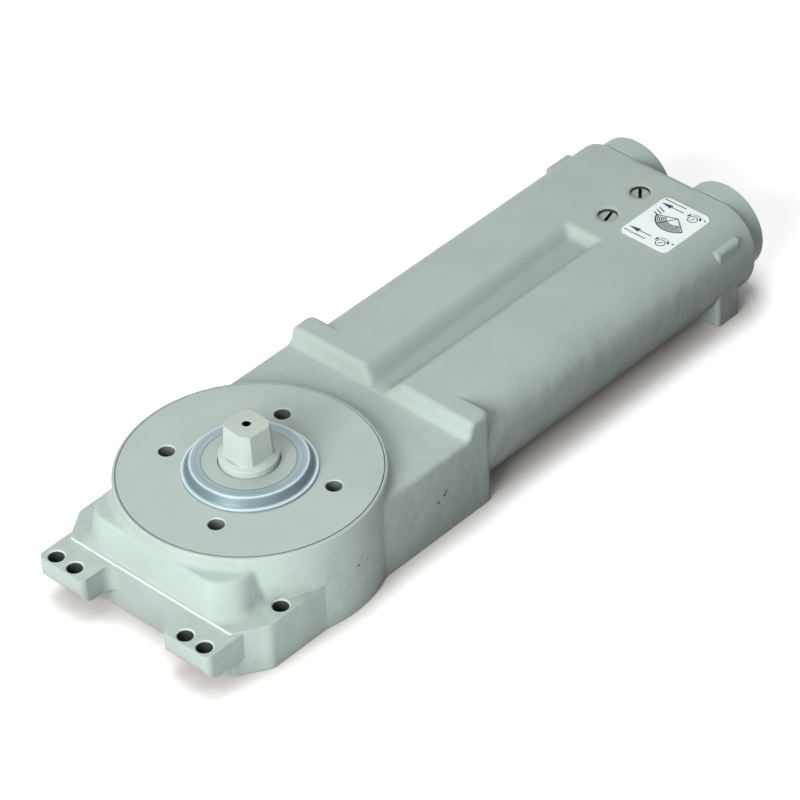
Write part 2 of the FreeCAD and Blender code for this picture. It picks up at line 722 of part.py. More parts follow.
def bearing_cup():
    """Drawn cup of the upper needle bearing, lipped at both ends to hold its rollers."""
    lip_r = CUP_BORE_R - CUP_LIP
    return turned([
        (lip_r, CUP_Z, 0),
        (CUP_R, CUP_Z, 0),
        (CUP_R, RETAINER_SEAT_Z, 0),
        (lip_r, RETAINER_SEAT_Z, 0),
        (lip_r, RETAINER_SEAT_Z - CUP_LIP, 0),
        (CUP_BORE_R, RETAINER_SEAT_Z - CUP_LIP, 0),
        (CUP_BORE_R, CUP_Z + CUP_LIP, 0),
        (lip_r, CUP_Z + CUP_LIP, 0),
    ])


def bearing_rollers():
    """Needle rollers between the cup and the journal."""
    circle_r = JOURNAL_R + RUN_GAP + ROLLER_R
    rollers = []
    for index in range(ROLLER_COUNT):
        angle = 2 * math.pi * (index + 0.5) / ROLLER_COUNT
        rollers.append(post(ROLLER_R, CUP_Z + CUP_LIP + SEAT_GAP, RETAINER_SEAT_Z - CUP_LIP - SEAT_GAP,
                            circle_r * math.cos(angle), circle_r * math.sin(angle)))
    return Part.makeCompound(rollers)


def pinion():
    """Involute pinion cut on the spindle, with a tooth facing each rack."""
    base_r = PITCH_R * math.cos(math.radians(PRESSURE_DEG))
    tip_r = PITCH_R + ADDENDUM * MODULE
    root_r = PITCH_R - DEDENDUM * MODULE

    def involute(radius):
        return math.tan(math.acos(base_r / radius)) - math.acos(base_r / radius)

    half_tooth = (math.pi * MODULE / 2 - BACKLASH / 2) / (2 * PITCH_R)
    flank = [(root_r, half_tooth + involute(PITCH_R))]
    for step in range(FLANK_STEPS + 1):
        radius = base_r + (tip_r - base_r) * step / FLANK_STEPS
        flank.append((radius, half_tooth + involute(PITCH_R) - involute(radius)))
    points = []
    for tooth in range(PINION_TEETH):
        centre = 2 * math.pi * tooth / PINION_TEETH
        points += [(radius, centre - angle) for radius, angle in flank]
        points += [(radius, centre + angle) for radius, angle in reversed(flank)]
    outline = [(radius * math.cos(angle), radius * math.sin(angle), 0) for radius, angle in points]
    return prism_z(outline, PINION_Z, PINION_TOP_Z)


def spindle_head():
    """Tapered square that takes the door arm: four flats on a tapered turned end, rounded at the top."""
    turned_end = turned([
        (0, FLAT_FOOT_Z - HEAD_FOOT_BLEND, 0),
        (JOURNAL_R, FLAT_FOOT_Z - HEAD_FOOT_BLEND, 0),
        (HEAD_CORNER_R, FLAT_FOOT_Z, HEAD_FOOT_BLEND),
        (HEAD_CORNER_R - (FLATS_FOOT - FLATS_TOP) / 2, HEAD_TOP_Z, 0),
        (0, HEAD_TOP_Z, 0),
    ])

    def square(across, level):
        half = across / 2
        return rounded_wire(rectangle(-half, -half, half, half), lambda x, y: Vector(x, y, level))

    taper = (FLATS_FOOT - FLATS_TOP) / (HEAD_TOP_Z - FLAT_FOOT_Z)
    above = FLATS_TOP - taper * MARGIN
    flats = Part.makeLoft([square(FLATS_FOOT, FLAT_FOOT_Z), square(above, HEAD_TOP_Z + MARGIN)], True, True)
    below = post(JOURNAL_R + MARGIN, FLAT_FOOT_Z - HEAD_FOOT_BLEND, FLAT_FOOT_Z)
    head = turned_end.common(flats.fuse(below)).removeSplitter()
    head = head.makeFillet(HEAD_EDGE_R, edges_where(head, lambda point: point.z > HEAD_TOP_Z - FIT_GAP))
    head.rotate(Vector(0, 0, 0), AXIS_Z, HEAD_TURN_DEG)
    return head


def spindle():
    """Pinion shaft: lower journal, pinion, upper journal and tapered square head."""
    lower = post(LOWER_JOURNAL_R, SPINDLE_Z, PINION_Z)
    upper = post(JOURNAL_R, PINION_TOP_Z, FLAT_FOOT_Z - HEAD_FOOT_BLEND)
    shaft = lower.multiFuse([pinion(), upper, spindle_head()]).removeSplitter()
    return shaft.cut(post(CENTRE_HOLE_R, HEAD_TOP_Z - CENTRE_HOLE_DEPTH, HEAD_TOP_Z + MARGIN))


def lower_bush():
    """Plain bush for the lower journal."""
    return turned(ring(BUSH_R, LOWER_JOURNAL_R + RUN_GAP, BUSH_Z, BUSH_Z + BUSH_LENGTH))


def thrust_washer():
    """Washer on the floor of the bore that carries the end of the spindle."""
    return post(BUSH_R, FLOOR_WALL, FLOOR_WALL + THRUST_THICKNESS)


def rack(side):
    """Toothed bar of one piston, in mesh with the pinion at rest."""
    pitch = math.pi * MODULE
    slope = math.tan(math.radians(PRESSURE_DEG))
    half_pitch_line = pitch / 4 - BACKLASH / 4
    half_tip = half_pitch_line - ADDENDUM * MODULE * slope
    half_root = half_pitch_line + DEDENDUM * MODULE * slope
    first = math.ceil((RACK_FRONT_X + RACK_TIP_SLACK + half_root) / pitch - 0.5) + 0.5
    outline = [(RACK_FRONT_X, side * RACK_BACK_Y, 0), (RACK_FRONT_X, side * RACK_ROOT_Y, 0)]
    for index in range(RACK_TOOTH_COUNT):
        centre = (first + index) * pitch
        outline += [
            (centre - half_root, side * RACK_ROOT_Y, 0),
            (centre - half_tip, side * RACK_TIP_Y, 0),
            (centre + half_tip, side * RACK_TIP_Y, 0),
            (centre + half_root, side * RACK_ROOT_Y, 0),
        ]
    inside_piston = PISTON_FRONT_X + MARGIN
    outline += [(inside_piston, side * RACK_ROOT_Y, 0), (inside_piston, side * RACK_BACK_Y, 0)]
    return prism_z(outline, BARREL_Z - RACK_HALF_HEIGHT, BARREL_Z + RACK_HALF_HEIGHT)


def rack_piston(side):
    """Piston with its rack, ring groove, spring spigot and check-valve bore."""
    crown = turned_on_barrel([
        (0, PISTON_FRONT_X, 0),
        (PISTON_R - PISTON_EDGE_CHAMFER, PISTON_FRONT_X, 0),
        (PISTON_R, PISTON_FRONT_X + PISTON_EDGE_CHAMFER, 0),
        (PISTON_R, PISTON_FRONT_X + RING_OFFSET, 0),
        (PISTON_R - RING_DEPTH, PISTON_FRONT_X + RING_OFFSET, 0),
        (PISTON_R - RING_DEPTH, PISTON_FRONT_X + RING_OFFSET + RING_WIDTH, 0),
        (PISTON_R, PISTON_FRONT_X + RING_OFFSET + RING_WIDTH, 0),
        (PISTON_R, PISTON_BACK_X, 0),
        (PISTON_SPIGOT_R, PISTON_BACK_X, 0),
        (PISTON_SPIGOT_R, PISTON_BACK_X + PISTON_SPIGOT_LENGTH, 0),
        (0, PISTON_BACK_X + PISTON_SPIGOT_LENGTH, 0),
    ], side)
    seat_x = PISTON_FRONT_X + CHECK_SEAT_DEPTH
    bores = [
        bar_x(CHECK_BORE_R, seat_x, PISTON_BACK_X + PISTON_SPIGOT_LENGTH + MARGIN, side),
        bar_x(CHECK_PORT_R, PISTON_FRONT_X - MARGIN, seat_x + MARGIN, side),
    ]
    return crown.fuse(rack(side)).cut(bores).removeSplitter()


def piston_ring(side):
    """Sealing ring in the piston's groove."""
    start = PISTON_FRONT_X + RING_OFFSET
    return turned_on_barrel(ring(PISTON_R, PISTON_R - RING_DEPTH + FIT_GAP,
                                 start + FIT_GAP, start + RING_WIDTH - FIT_GAP), side)


def ball_centre_x():
    """Station of the check ball, seated on the edge of its port."""
    seat_x = PISTON_FRONT_X + CHECK_SEAT_DEPTH
    return seat_x + math.sqrt(CHECK_BALL_R ** 2 - CHECK_PORT_R ** 2) + FIT_GAP


def check_ball(side):
    """Ball of the check valve in the piston."""
    return Part.makeSphere(CHECK_BALL_R, Vector(ball_centre_x(), side * BARREL_Y, BARREL_Z))


def check_retainer(side):
    """Drilled screw that keeps the check ball in the piston."""
    start = ball_centre_x() + CHECK_BALL_R + CHECK_BALL_PLAY
    return turned_on_barrel(ring(CHECK_BORE_R - FIT_GAP, CHECK_RETAINER_HOLE_R,
                                 start, start + CHECK_RETAINER_LENGTH), side)


def spring(side):
    """Compression spring between the piston and its seat at the end plug."""
    start = PISTON_BACK_X + SPRING_WIRE_HEIGHT / 2 + SEAT_GAP
    length = SPRING_SEAT_X - SEAT_GAP - SPRING_WIRE_HEIGHT / 2 - start
    centre_r = SPRING_R - SPRING_WIRE_WIDTH / 2
    helix = Part.makeHelix(length / SPRING_TURNS, length, centre_r)
    half_w, half_h = SPRING_WIRE_WIDTH / 2, SPRING_WIRE_HEIGHT / 2
    section = rounded_wire(rectangle(centre_r - half_w, -half_h, centre_r + half_w, half_h),
                           lambda r, z: Vector(r, 0, z))
    coil = Part.Wire(helix.Edges).makePipeShell([section], True, True)
    coil.rotate(Vector(0, 0, 0), AXIS_Y, 90)
    coil.translate(Vector(start, side * BARREL_Y, BARREL_Z))
    return coil


def spring_seat(side):
    """Washer that carries the spring on the end plug."""
    return turned_on_barrel(ring(SPRING_R, SPRING_SEAT_HOLE_R, SPRING_SEAT_X, PLUG_INNER_X), side)


def end_plug(side):
    """Screwed plug that closes the barrel, with a round cap and a hexagon socket."""
    cap_end = BODY_END_X + PLUG_CAP_LENGTH
    ring_x = PLUG_INNER_X + PLUG_RING_OFFSET
    solid = turned_on_barrel([
        (0, PLUG_INNER_X, 0),
        (PLUG_SPIGOT_R, PLUG_INNER_X, 0),
        (PLUG_SPIGOT_R, ring_x, 0),
        (PLUG_SPIGOT_R - PLUG_RING_DEPTH, ring_x, 0),
        (PLUG_SPIGOT_R - PLUG_RING_DEPTH, ring_x + PLUG_RING_WIDTH, 0),
        (PLUG_SPIGOT_R, ring_x + PLUG_RING_WIDTH, 0),
        (PLUG_SPIGOT_R, BODY_END_X, 0),
        (PLUG_CAP_R, BODY_END_X, 0),
        (PLUG_CAP_R, cap_end, PLUG_CAP_EDGE_R),
        (0, cap_end, 0),
    ], side)
    corner_r = PLUG_HEX_ACROSS / math.sqrt(3)
    hexagon = []
    for index in range(6):
        angle = math.pi / 3 * index
        across = corner_r * math.cos(angle)
        rise = corner_r * math.sin(angle)
        hexagon.append((side * BARREL_Y + across, BARREL_Z + rise, 0))
    return solid.cut(prism_x(hexagon, cap_end - PLUG_HEX_DEPTH, cap_end + MARGIN))


def plug_ring(side):
    """Sealing ring in the groove of the end plug."""
    start = PLUG_INNER_X + PLUG_RING_OFFSET
    return turned_on_barrel(ring(PLUG_SPIGOT_R, PLUG_SPIGOT_R - PLUG_RING_DEPTH + FIT_GAP,
                                 start + FIT_GAP, start + PLUG_RING_WIDTH - FIT_GAP), side)


def valve_ring_levels():
    """Lower and upper level of the groove in a speed valve's head."""
    top = VALVE_TOP_Z - VALVE_RING_DROP
    return top - VALVE_RING_WIDTH, top


def speed_valve(name):
    """Slotted needle valve with a tapered tip and a groove for its seal."""
    low, high = valve_ring_levels()
    neck = VALVE_HEAD_R - VALVE_RING_DEPTH
    solid = turned([
        (0, VALVE_TIP_Z, 0),
        (VALVE_STEM_R / 2, VALVE_TIP_Z, 0),
        (VALVE_STEM_R, VALVE_TIP_Z + VALVE_TIP_TAPER, 0),
        (VALVE_STEM_R, VALVE_STEP_Z, 0),
        (VALVE_HEAD_R, VALVE_STEP_Z, 0),
        (VALVE_HEAD_R, low, 0),
        (neck, low, 0),
        (neck, high, 0),
        (VALVE_HEAD_R, high, 0),
        (VALVE_HEAD_R, VALVE_TOP_Z, 0),
        (0, VALVE_TOP_Z, 0),
    ])
    slot = block((-VALVE_HEAD_R - MARGIN, -VALVE_SLOT_WIDTH / 2, VALVE_TOP_Z - VALVE_SLOT_DEPTH),
                 (VALVE_HEAD_R + MARGIN, VALVE_SLOT_WIDTH / 2, VALVE_TOP_Z + MARGIN))
    slot.rotate(Vector(0, 0, 0), AXIS_Z, VALVE_SLOT_DEG[name])
    valve = solid.cut(slot)
    valve.translate(Vector(VALVE_X[name], 0, 0))
    return valve


def valve_ring(name):
    """Sealing ring in the head of a speed valve."""
    low, high = valve_ring_levels()
    neck = VALVE_HEAD_R - VALVE_RING_DEPTH + FIT_GAP
    solid = turned(ring(VALVE_HEAD_R, neck, low + FIT_GAP, high - FIT_GAP))
    solid.translate(Vector(VALVE_X[name], 0, 0))
    return solid


def adjustment_label():
    """Thin rounded label that follows the top of the right barrel beside the speed valves."""
    rear = BODY_END_X - LABEL_SETBACK
    front = rear - LABEL_LENGTH
    far = -LABEL_OFFSET - LABEL_WIDTH
    barrel = prism_x(barrel_section(), front - MARGIN, rear + MARGIN)
    film = prism_x(barrel_section(LABEL_THICKNESS), front - MARGIN, rear + MARGIN).cut(barrel)
    outline = prism_z(rectangle(front, far, rear, -LABEL_OFFSET, LABEL_CORNER_R), BARREL_Z, TOP_Z + MARGIN)
    return film.common(outline)


def pieces():
    """Every separate piece of the closer, by name."""
    made = {
        "housing": housing(),
        "cover_plate": cover_plate(),
        "cover_seal": cover_seal(),
        "retainer_ring": retainer_ring(),
        "spindle_washer": spindle_washer(),
        "lip_seal": lip_seal(),
        "bearing_cup": bearing_cup(),
        "bearing_rollers": bearing_rollers(),
        "spindle": spindle(),
        "lower_bush": lower_bush(),
        "thrust_washer": thrust_washer(),
        "adjustment_label": adjustment_label(),
    }
    for name, side in SIDES.items():
        made[name + "_rack_piston"] = rack_piston(side)
        made[name + "_piston_ring"] = piston_ring(side)
        made[name + "_check_ball"] = check_ball(side)
        made[name + "_check_retainer"] = check_retainer(side)
        made[name + "_spring"] = spring(side)
        made[name + "_spring_seat"] = spring_seat(side)
        made[name + "_end_plug"] = end_plug(side)
        made[name + "_plug_ring"] = plug_ring(side)
    for name in VALVE_X:
        made[name] = speed_valve(name)
        made[name + "_ring"] = valve_ring(name)
    return made


os.makedirs("parts", exist_ok=True)
for node, shape in pieces().items():
    shape.exportStep("parts/" + node + ".step")
    print(node, len(shape.Solids), shape.isValid(), round(shape.Volume, 1))
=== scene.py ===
"""Studio scene of a transom door closer: the CAD frame dressed with paint, plating and a printed label."""
from __future__ import annotations

import functools
import logging
import math
from collections.abc import Iterable, Mapping, Sequence
from dataclasses import dataclass
from enum import Enum
from typing import Union

import bmesh
import bpy
from mathutils import Matrix, Vector

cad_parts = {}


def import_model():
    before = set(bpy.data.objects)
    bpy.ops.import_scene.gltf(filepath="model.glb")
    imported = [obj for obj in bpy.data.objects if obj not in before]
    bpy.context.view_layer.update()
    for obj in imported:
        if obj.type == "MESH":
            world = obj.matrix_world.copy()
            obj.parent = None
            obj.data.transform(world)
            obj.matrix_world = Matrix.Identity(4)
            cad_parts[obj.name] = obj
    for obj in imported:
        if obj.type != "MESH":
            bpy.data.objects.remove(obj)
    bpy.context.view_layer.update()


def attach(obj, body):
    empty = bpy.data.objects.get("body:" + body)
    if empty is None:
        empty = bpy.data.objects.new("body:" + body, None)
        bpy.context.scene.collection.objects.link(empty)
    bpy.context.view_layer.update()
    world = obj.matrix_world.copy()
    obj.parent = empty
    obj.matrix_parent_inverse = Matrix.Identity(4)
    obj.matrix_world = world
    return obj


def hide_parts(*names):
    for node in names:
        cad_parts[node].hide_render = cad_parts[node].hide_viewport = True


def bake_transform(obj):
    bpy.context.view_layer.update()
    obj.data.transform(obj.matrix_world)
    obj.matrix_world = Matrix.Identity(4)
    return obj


log = logging.getLogger("closer")

MM = 0.001
FULL_TURN_DEG = 360.0

Colour = tuple[float, float, float]
Place = tuple[float, float, float]
Flat = tuple[float, float]
Term = Union["Value", float, Sequence[float]]

BLACK: Colour = (0.0, 0.0, 0.0)
WHITE: Colour = (1.0, 1.0, 1.0)
ORIGIN: Place = (0.0, 0.0, 0.0)
BARREL_AXIS: Flat = (0.0204, 0.0204)


def srgb(red: int, green: int, blue: int) -> Colour:
    """Give the linear colour of an 8-bit display colour.

    Args:
        red: Red level.
        green: Green level.
        blue: Blue level.

    Returns:
        The three linear shares.
    """
    shares = [level / 255 for level in (red, green, blue)]
    first, second, third = [s / 12.92 if s <= 0.04045 else ((s + 0.055) / 1.055) ** 2.4 for s in shares]
    return first, second, third


class Value:
    """An output of a shader node, on which arithmetic adds Math nodes."""

    def __init__(self, net: Net, socket: bpy.types.NodeSocket | None) -> None:
        """Wrap one socket of a net."""
        self.net = net
        self.socket = socket

    def _math(self, operation: str, *terms: Term) -> Value:
        """Add a Math node on the terms."""
        return self.net.node("ShaderNodeMath", {"operation": operation}, dict(enumerate(terms)))

    def __add__(self, other: Term) -> Value:
        """Add a term."""
        return self._math("ADD", self, other)

    def __radd__(self, other: Term) -> Value:
        """Add to a term."""
        return self._math("ADD", other, self)

    def __sub__(self, other: Term) -> Value:
        """Subtract a term."""
        return self._math("SUBTRACT", self, other)

    def __rsub__(self, other: Term) -> Value:
        """Subtract from a term."""
        return self._math("SUBTRACT", other, self)

    def __mul__(self, other: Term) -> Value:
        """Multiply by a term."""
        return self._math("MULTIPLY", self, other)

    def __rmul__(self, other: Term) -> Value:
        """Multiply a term."""
        return self._math("MULTIPLY", other, self)

    def __abs__(self) -> Value:
        """Drop the sign."""
        return self._math("ABSOLUTE", self)

    def most(self, other: Term) -> Value:
        """Take the larger of two terms."""
        return self._math("MAXIMUM", self, other)

    def sine(self) -> Value:
        """Take the sine of an angle in radians."""
        return self._math("SINE", self)

    def between(self, low: float, high: float) -> Value:
        """Rise smoothly from 0 at one level to 1 at another.

        Args:
            low: Level that gives 0.
            high: Level that gives 1, which may be the smaller of the two.

        Returns:
            The share between the levels.
        """
        start, end = (1.0, 0.0) if high < low else (0.0, 1.0)
        settings = {"interpolation_type": "SMOOTHSTEP"}
        levels = {0: self, 1: min(low, high), 2: max(low, high), 3: start, 4: end}
        return self.net.node("ShaderNodeMapRange", settings, levels)


@dataclass(frozen=True)
class Grain:
    """Noise of one size, with the number of its finer layers and the weight of each."""

    size_mm: float
    detail: float = 2.0
    rough: float = 0.5


class Net:
    """Node tree of one material or of the world."""

    bevel_samples = 6
    occlusion_samples = 8
    edge_cosines = (0.985, 0.8)

    def __init__(self, tree: bpy.types.NodeTree) -> None:
        """Start with an empty tree."""
        self.tree = tree
        tree.nodes.clear()

    def node(
        self,
        kind: str,
        settings: Mapping[str, object] | None = None,
        inputs: Mapping[str | int, Term] | None = None,
        output: str | int = 0,
    ) -> Value:
        """Add a node.

        Args:
            kind: Blender's name of the node's type.
            settings: Properties of the node, set first.
            inputs: Values or links of its sockets, by name or number.
            output: Name or number of the output that is given back.

        Returns:
            That output.
        """
        made = self.tree.nodes.new(kind)
        for name, setting in (settings or {}).items():
            setattr(made, name, setting)
        for key, term in (inputs or {}).items():
            socket = made.inputs[key]
            if isinstance(term, Value):
                self.tree.links.new(term.socket, socket)
            elif socket.type == "RGBA" and len(term) == 3:
                socket.default_value = (*term, 1.0)
            else:
                socket.default_value = term
        return Value(self, made.outputs[output] if made.outputs else None)

    def place(self) -> Value:
        """Give the place on the piece, in metres."""
        return self.node("ShaderNodeTexCoord", output="Object")

    def axes(self, vector: Value) -> tuple[Value, Value, Value]:
        """Split a vector.

        Args:
            vector: What is split.

        Returns:
            Its three parts.
        """
        made = self.node("ShaderNodeSeparateXYZ", inputs={0: vector}).socket.node
        along, across, up = [Value(self, socket) for socket in made.outputs]
        return along, across, up

    def distance(self, first: Term, second: Term) -> Value:
        """Measure between two places."""
        return self.node("ShaderNodeVectorMath", {"operation": "DISTANCE"}, {0: first, 1: second}, "Value")

    def flat(self, first: Term, second: Term) -> Value:
        """Join two parts to a vector in a plane."""
        return self.node("ShaderNodeCombineXYZ", inputs={0: first, 1: second})

    def noise(self, vector: Value, grain: Grain) -> Value:
        """Add noise.

        Args:
            vector: Place in metres.
            grain: Size and fineness of the noise.

        Returns:
            Noise about 0.5.
        """
        scale = 1 / (grain.size_mm * MM)
        inputs = {"Vector": vector, "Scale": scale, "Detail": grain.detail, "Roughness": grain.rough}
        return self.node("ShaderNodeTexNoise", {}, inputs)

    def mix(self, share: Term, first: Term, second: Term) -> Value:
        """Mix two colours.

        Args:
            share: Share of the second colour.
            first: Colour at 0.
            second: Colour at 1.

        Returns:
            The mixed colour.
        """
        settings = {"data_type": "RGBA", "clamp_factor": True}
        return self.node("ShaderNodeMix", settings, {0: share, 6: first, 7: second}, 2)

    def rounded(self, radius_mm: float) -> Value:
        """Give normals that round each edge a little."""
        return self.node("ShaderNodeBevel", {"samples": self.bevel_samples}, {"Radius": radius_mm * MM})

    def blend(self, share: Value, first: Value, second: Value) -> Value:
        """Mix two normals.

        Args:
            share: Share of the second normal.
            first: Normal at 0.
            second: Normal at 1.

        Returns:
            The mixed normal, of length 1.
        """
        mixed = self.node("ShaderNodeMix", {"data_type": "VECTOR"}, {0: share, 4: first, 5: second}, 1)
        return self.node("ShaderNodeVectorMath", {"operation": "NORMALIZE"}, {0: mixed})

    def edges(self, radius_mm: float) -> Value:
        """Find the edges of the piece.

        Args:
            radius_mm: How far from an edge the find reaches.

        Returns:
            1 on an edge and 0 away from it.
        """
        flat = self.node("ShaderNodeNewGeometry", output="Normal")
        inputs = {0: self.rounded(radius_mm), 1: flat}
        facing = self.node("ShaderNodeVectorMath", {"operation": "DOT_PRODUCT"}, inputs, "Value")
        return facing.between(*self.edge_cosines)

    def bump(self, height: Value, depth_mm: float, normal: Value | None = None) -> Value:
        """Turn a height into a normal.

        Args:
            height: Height, where 1 stands for the depth.
            depth_mm: Depth of the relief.
            normal: Normal that the relief lies on, or nothing for the mesh's own.

        Returns:
            The normal with the relief.
        """
        inputs: dict[str | int, Term] = {"Height": height, "Distance": depth_mm * MM, "Strength": 1.0}
        if normal:
            inputs["Normal"] = normal
        return self.node("ShaderNodeBump", {}, inputs)

    def openness(self, reach: float) -> Value:
        """Find how open the surface is to the space within a reach, in metres."""
        settings = {"samples": self.occlusion_samples}
        return self.node("ShaderNodeAmbientOcclusion", settings, {"Distance": reach}, "AO")

    def seen(self) -> Value:
        """Give 1 to rays from the camera, a reflection or clear glass, and 0 to those that carry light."""
        rays = ("Is Camera Ray", "Is Glossy Ray", "Is Transmission Ray")
        return functools.reduce(Value.most, [self.node("ShaderNodeLightPath", output=ray) for ray in rays])

    def surface(self, inputs: Mapping[str | int, Term]) -> None:
        """Close the net with a principled shader on these inputs."""
        shader = self.node("ShaderNodeBsdfPrincipled", {}, inputs)
        self.node("ShaderNodeOutputMaterial", {}, {"Surface": shader})


@dataclass(frozen=True)
class Patches:
    """Patches of a second colour: their noise, the levels between which they come in, and their share."""

    grain: Grain
    levels: Flat
    share: float = 1.0

    def find(self, net: Net, place: Value) -> Value:
        """Give 1 in a patch and 0 beside it."""
        return net.noise(place, self.grain).between(*self.levels)


@dataclass(frozen=True)
class Finish:
    """Look of one material."""

    name: str
    colour: Colour

    def material(self) -> bpy.types.Material:
        """Make the material.

        Returns:
            The material, with its net filled.
        """
        made = bpy.data.materials.new(self.name)
        made.use_nodes = True
        self.shade(Net(made.node_tree))
        return made

    def shade(self, net: Net) -> None:
        """Fill the material's net."""
        raise NotImplementedError

    def shifted(self, gain: float) -> Colour:
        """Give the colour made lighter or darker."""
        red, green, blue = self.colour
        return red * gain, green * gain, blue * gain


@dataclass(frozen=True)
class Paint(Finish):
    """Satin paint with a fine orange peel and painted highlights on the edges."""

    roughness: float = 0.4
    gloss_grain: Grain = Grain(6, 3, 0.6)
    gloss_swing: float = 0.12
    peel_grain: Grain = Grain(1.1, 2, 0.45)
    peel_depth_mm: float = 0.012
    clouds: Patches = Patches(Grain(22, 3, 0.55), (0.3, 0.7))
    cloud_gains: Flat = (0.965, 1.035)
    edge_mm: float = 0.35
    edge_highlight_gain: float = 1.25
    specular: float = 0.3

    def tone(self, net: Net, place: Value) -> Value:
        """Give the paint's colour, with faint clouds and painted highlights on the edges.

        Args:
            net: Net that takes the nodes.
            place: Place on the piece.

        Returns:
            The colour.
        """
        dark, light = [self.shifted(gain) for gain in self.cloud_gains]
        clouded = net.mix(self.clouds.find(net, place), dark, light)
        # Lighter edges: a painted highlight.
        return net.mix(net.edges(self.edge_mm), clouded, self.shifted(self.edge_highlight_gain))

    def gloss(self, net: Net, place: Value) -> Value:
        """Give the paint's roughness."""
        return self.roughness + (net.noise(place, self.gloss_grain) - 0.5) * self.gloss_swing

    def shape(self, net: Net, place: Value) -> Value:
        """Give the normal under the paint, with small round edges."""
        return net.rounded(self.edge_mm)

    def peel(self, net: Net, place: Value) -> Value:
        """Give the normal of the orange peel."""
        return net.bump(net.noise(place, self.peel_grain), self.peel_depth_mm, self.shape(net, place))

    def shade(self, net: Net) -> None:
        """Fill the material's net.

        Args:
            net: Net that takes the nodes.
        """
        place = net.place()
        net.surface({
            "Base Color": self.tone(net, place),
            "Roughness": self.gloss(net, place),
            "Specular IOR Level": self.specular,
            "Normal": self.peel(net, place),
        })


@dataclass(frozen=True)
class Hole:
    """An upright hole, worn round its mouth, with painted shade on its wall below the lip."""

    x_mm: float
    y_mm: float
    mouth_mm: float
    top_mm: float
    # Colour of the wall below the lip: a painted shade.
    inside: Colour
    lip_mm: float = 0.3
    worn: Colour = srgb(196, 207, 200)


@dataclass(frozen=True)
class DrilledPaint(Paint):
    """Paint on a piece with upright holes."""

    holes: tuple[Hole, ...] = ()
    mouth_fade_mm: float = 0.1
    top_fade_mm: float = 0.05
    deep_fade_mm: float = 0.3

    def tone(self, net: Net, place: Value) -> Value:
        """Give the paint's colour, worn at the holes' mouths and with painted shade inside them.

        Args:
            net: Net that takes the nodes.
            place: Place on the piece.

        Returns:
            The colour.
        """
        along, across, up = net.axes(place)
        plan = net.flat(along, across)
        colour = super().tone(net, place)
        for hole in self.holes:
            off = net.distance(plan, (hole.x_mm * MM, hole.y_mm * MM, 0.0))
            within = off.between((hole.mouth_mm + self.mouth_fade_mm) * MM, hole.mouth_mm * MM)
            worn = within * up.between((hole.top_mm + self.top_fade_mm) * MM, hole.top_mm * MM)
            lip = hole.top_mm - hole.lip_mm
            # Painted shade on the hole's wall below the lip.
            hole_shade = within * up.between(lip * MM, (lip - self.deep_fade_mm) * MM)
            colour = net.mix(hole_shade, net.mix(worn, colour, hole.worn), hole.inside)
        return colour


@dataclass(frozen=True)
class CoverPaint(DrilledPaint):
    """Paint on the round cover, with painted shade in the seam round it."""

    seam_mm: float = 43.2
    seam_fade_mm: float = 0.15
    seam_shade: Colour = srgb(58, 64, 62)
    seam_shade_share: float = 0.75

    def tone(self, net: Net, place: Value) -> Value:
        """Give the paint's colour, with painted shade at the seam.

        Args:
            net: Net that takes the nodes.
            place: Place on the piece.

        Returns:
            The colour.
        """
        along, across, _ = net.axes(place)
        radius = net.distance(net.flat(along, across), ORIGIN)
        # The dark seam is painted shade in the gap.
        seam = radius.between(self.seam_mm * MM, (self.seam_mm + self.seam_fade_mm) * MM)
        return net.mix(seam * self.seam_shade_share, super().tone(net, place), self.seam_shade)


@dataclass(frozen=True)
class SlottedPaint(Paint):
    """Paint on a screw's head, with painted shade in the slot."""

    top_mm: float = 35.75
    slot_mm: Flat = (0.1, 0.5)
    slot_shade: Colour = srgb(16, 18, 18)

    def tone(self, net: Net, place: Value) -> Value:
        """Give the paint's colour, with painted shade below the head's face.

        Args:
            net: Net that takes the nodes.
            place: Place on the piece.

        Returns:
            The colour.
        """
        start, full = [(self.top_mm - depth) * MM for depth in self.slot_mm]
        below = net.axes(place)[2].between(start, full)
        # Black below the head's face: a painted shade.
        return net.mix(below, super().tone(net, place), self.slot_shade)


@dataclass(frozen=True)
class Mark:
    """A dark scuff on the paint."""

    place_mm: Place
    radius_mm: float


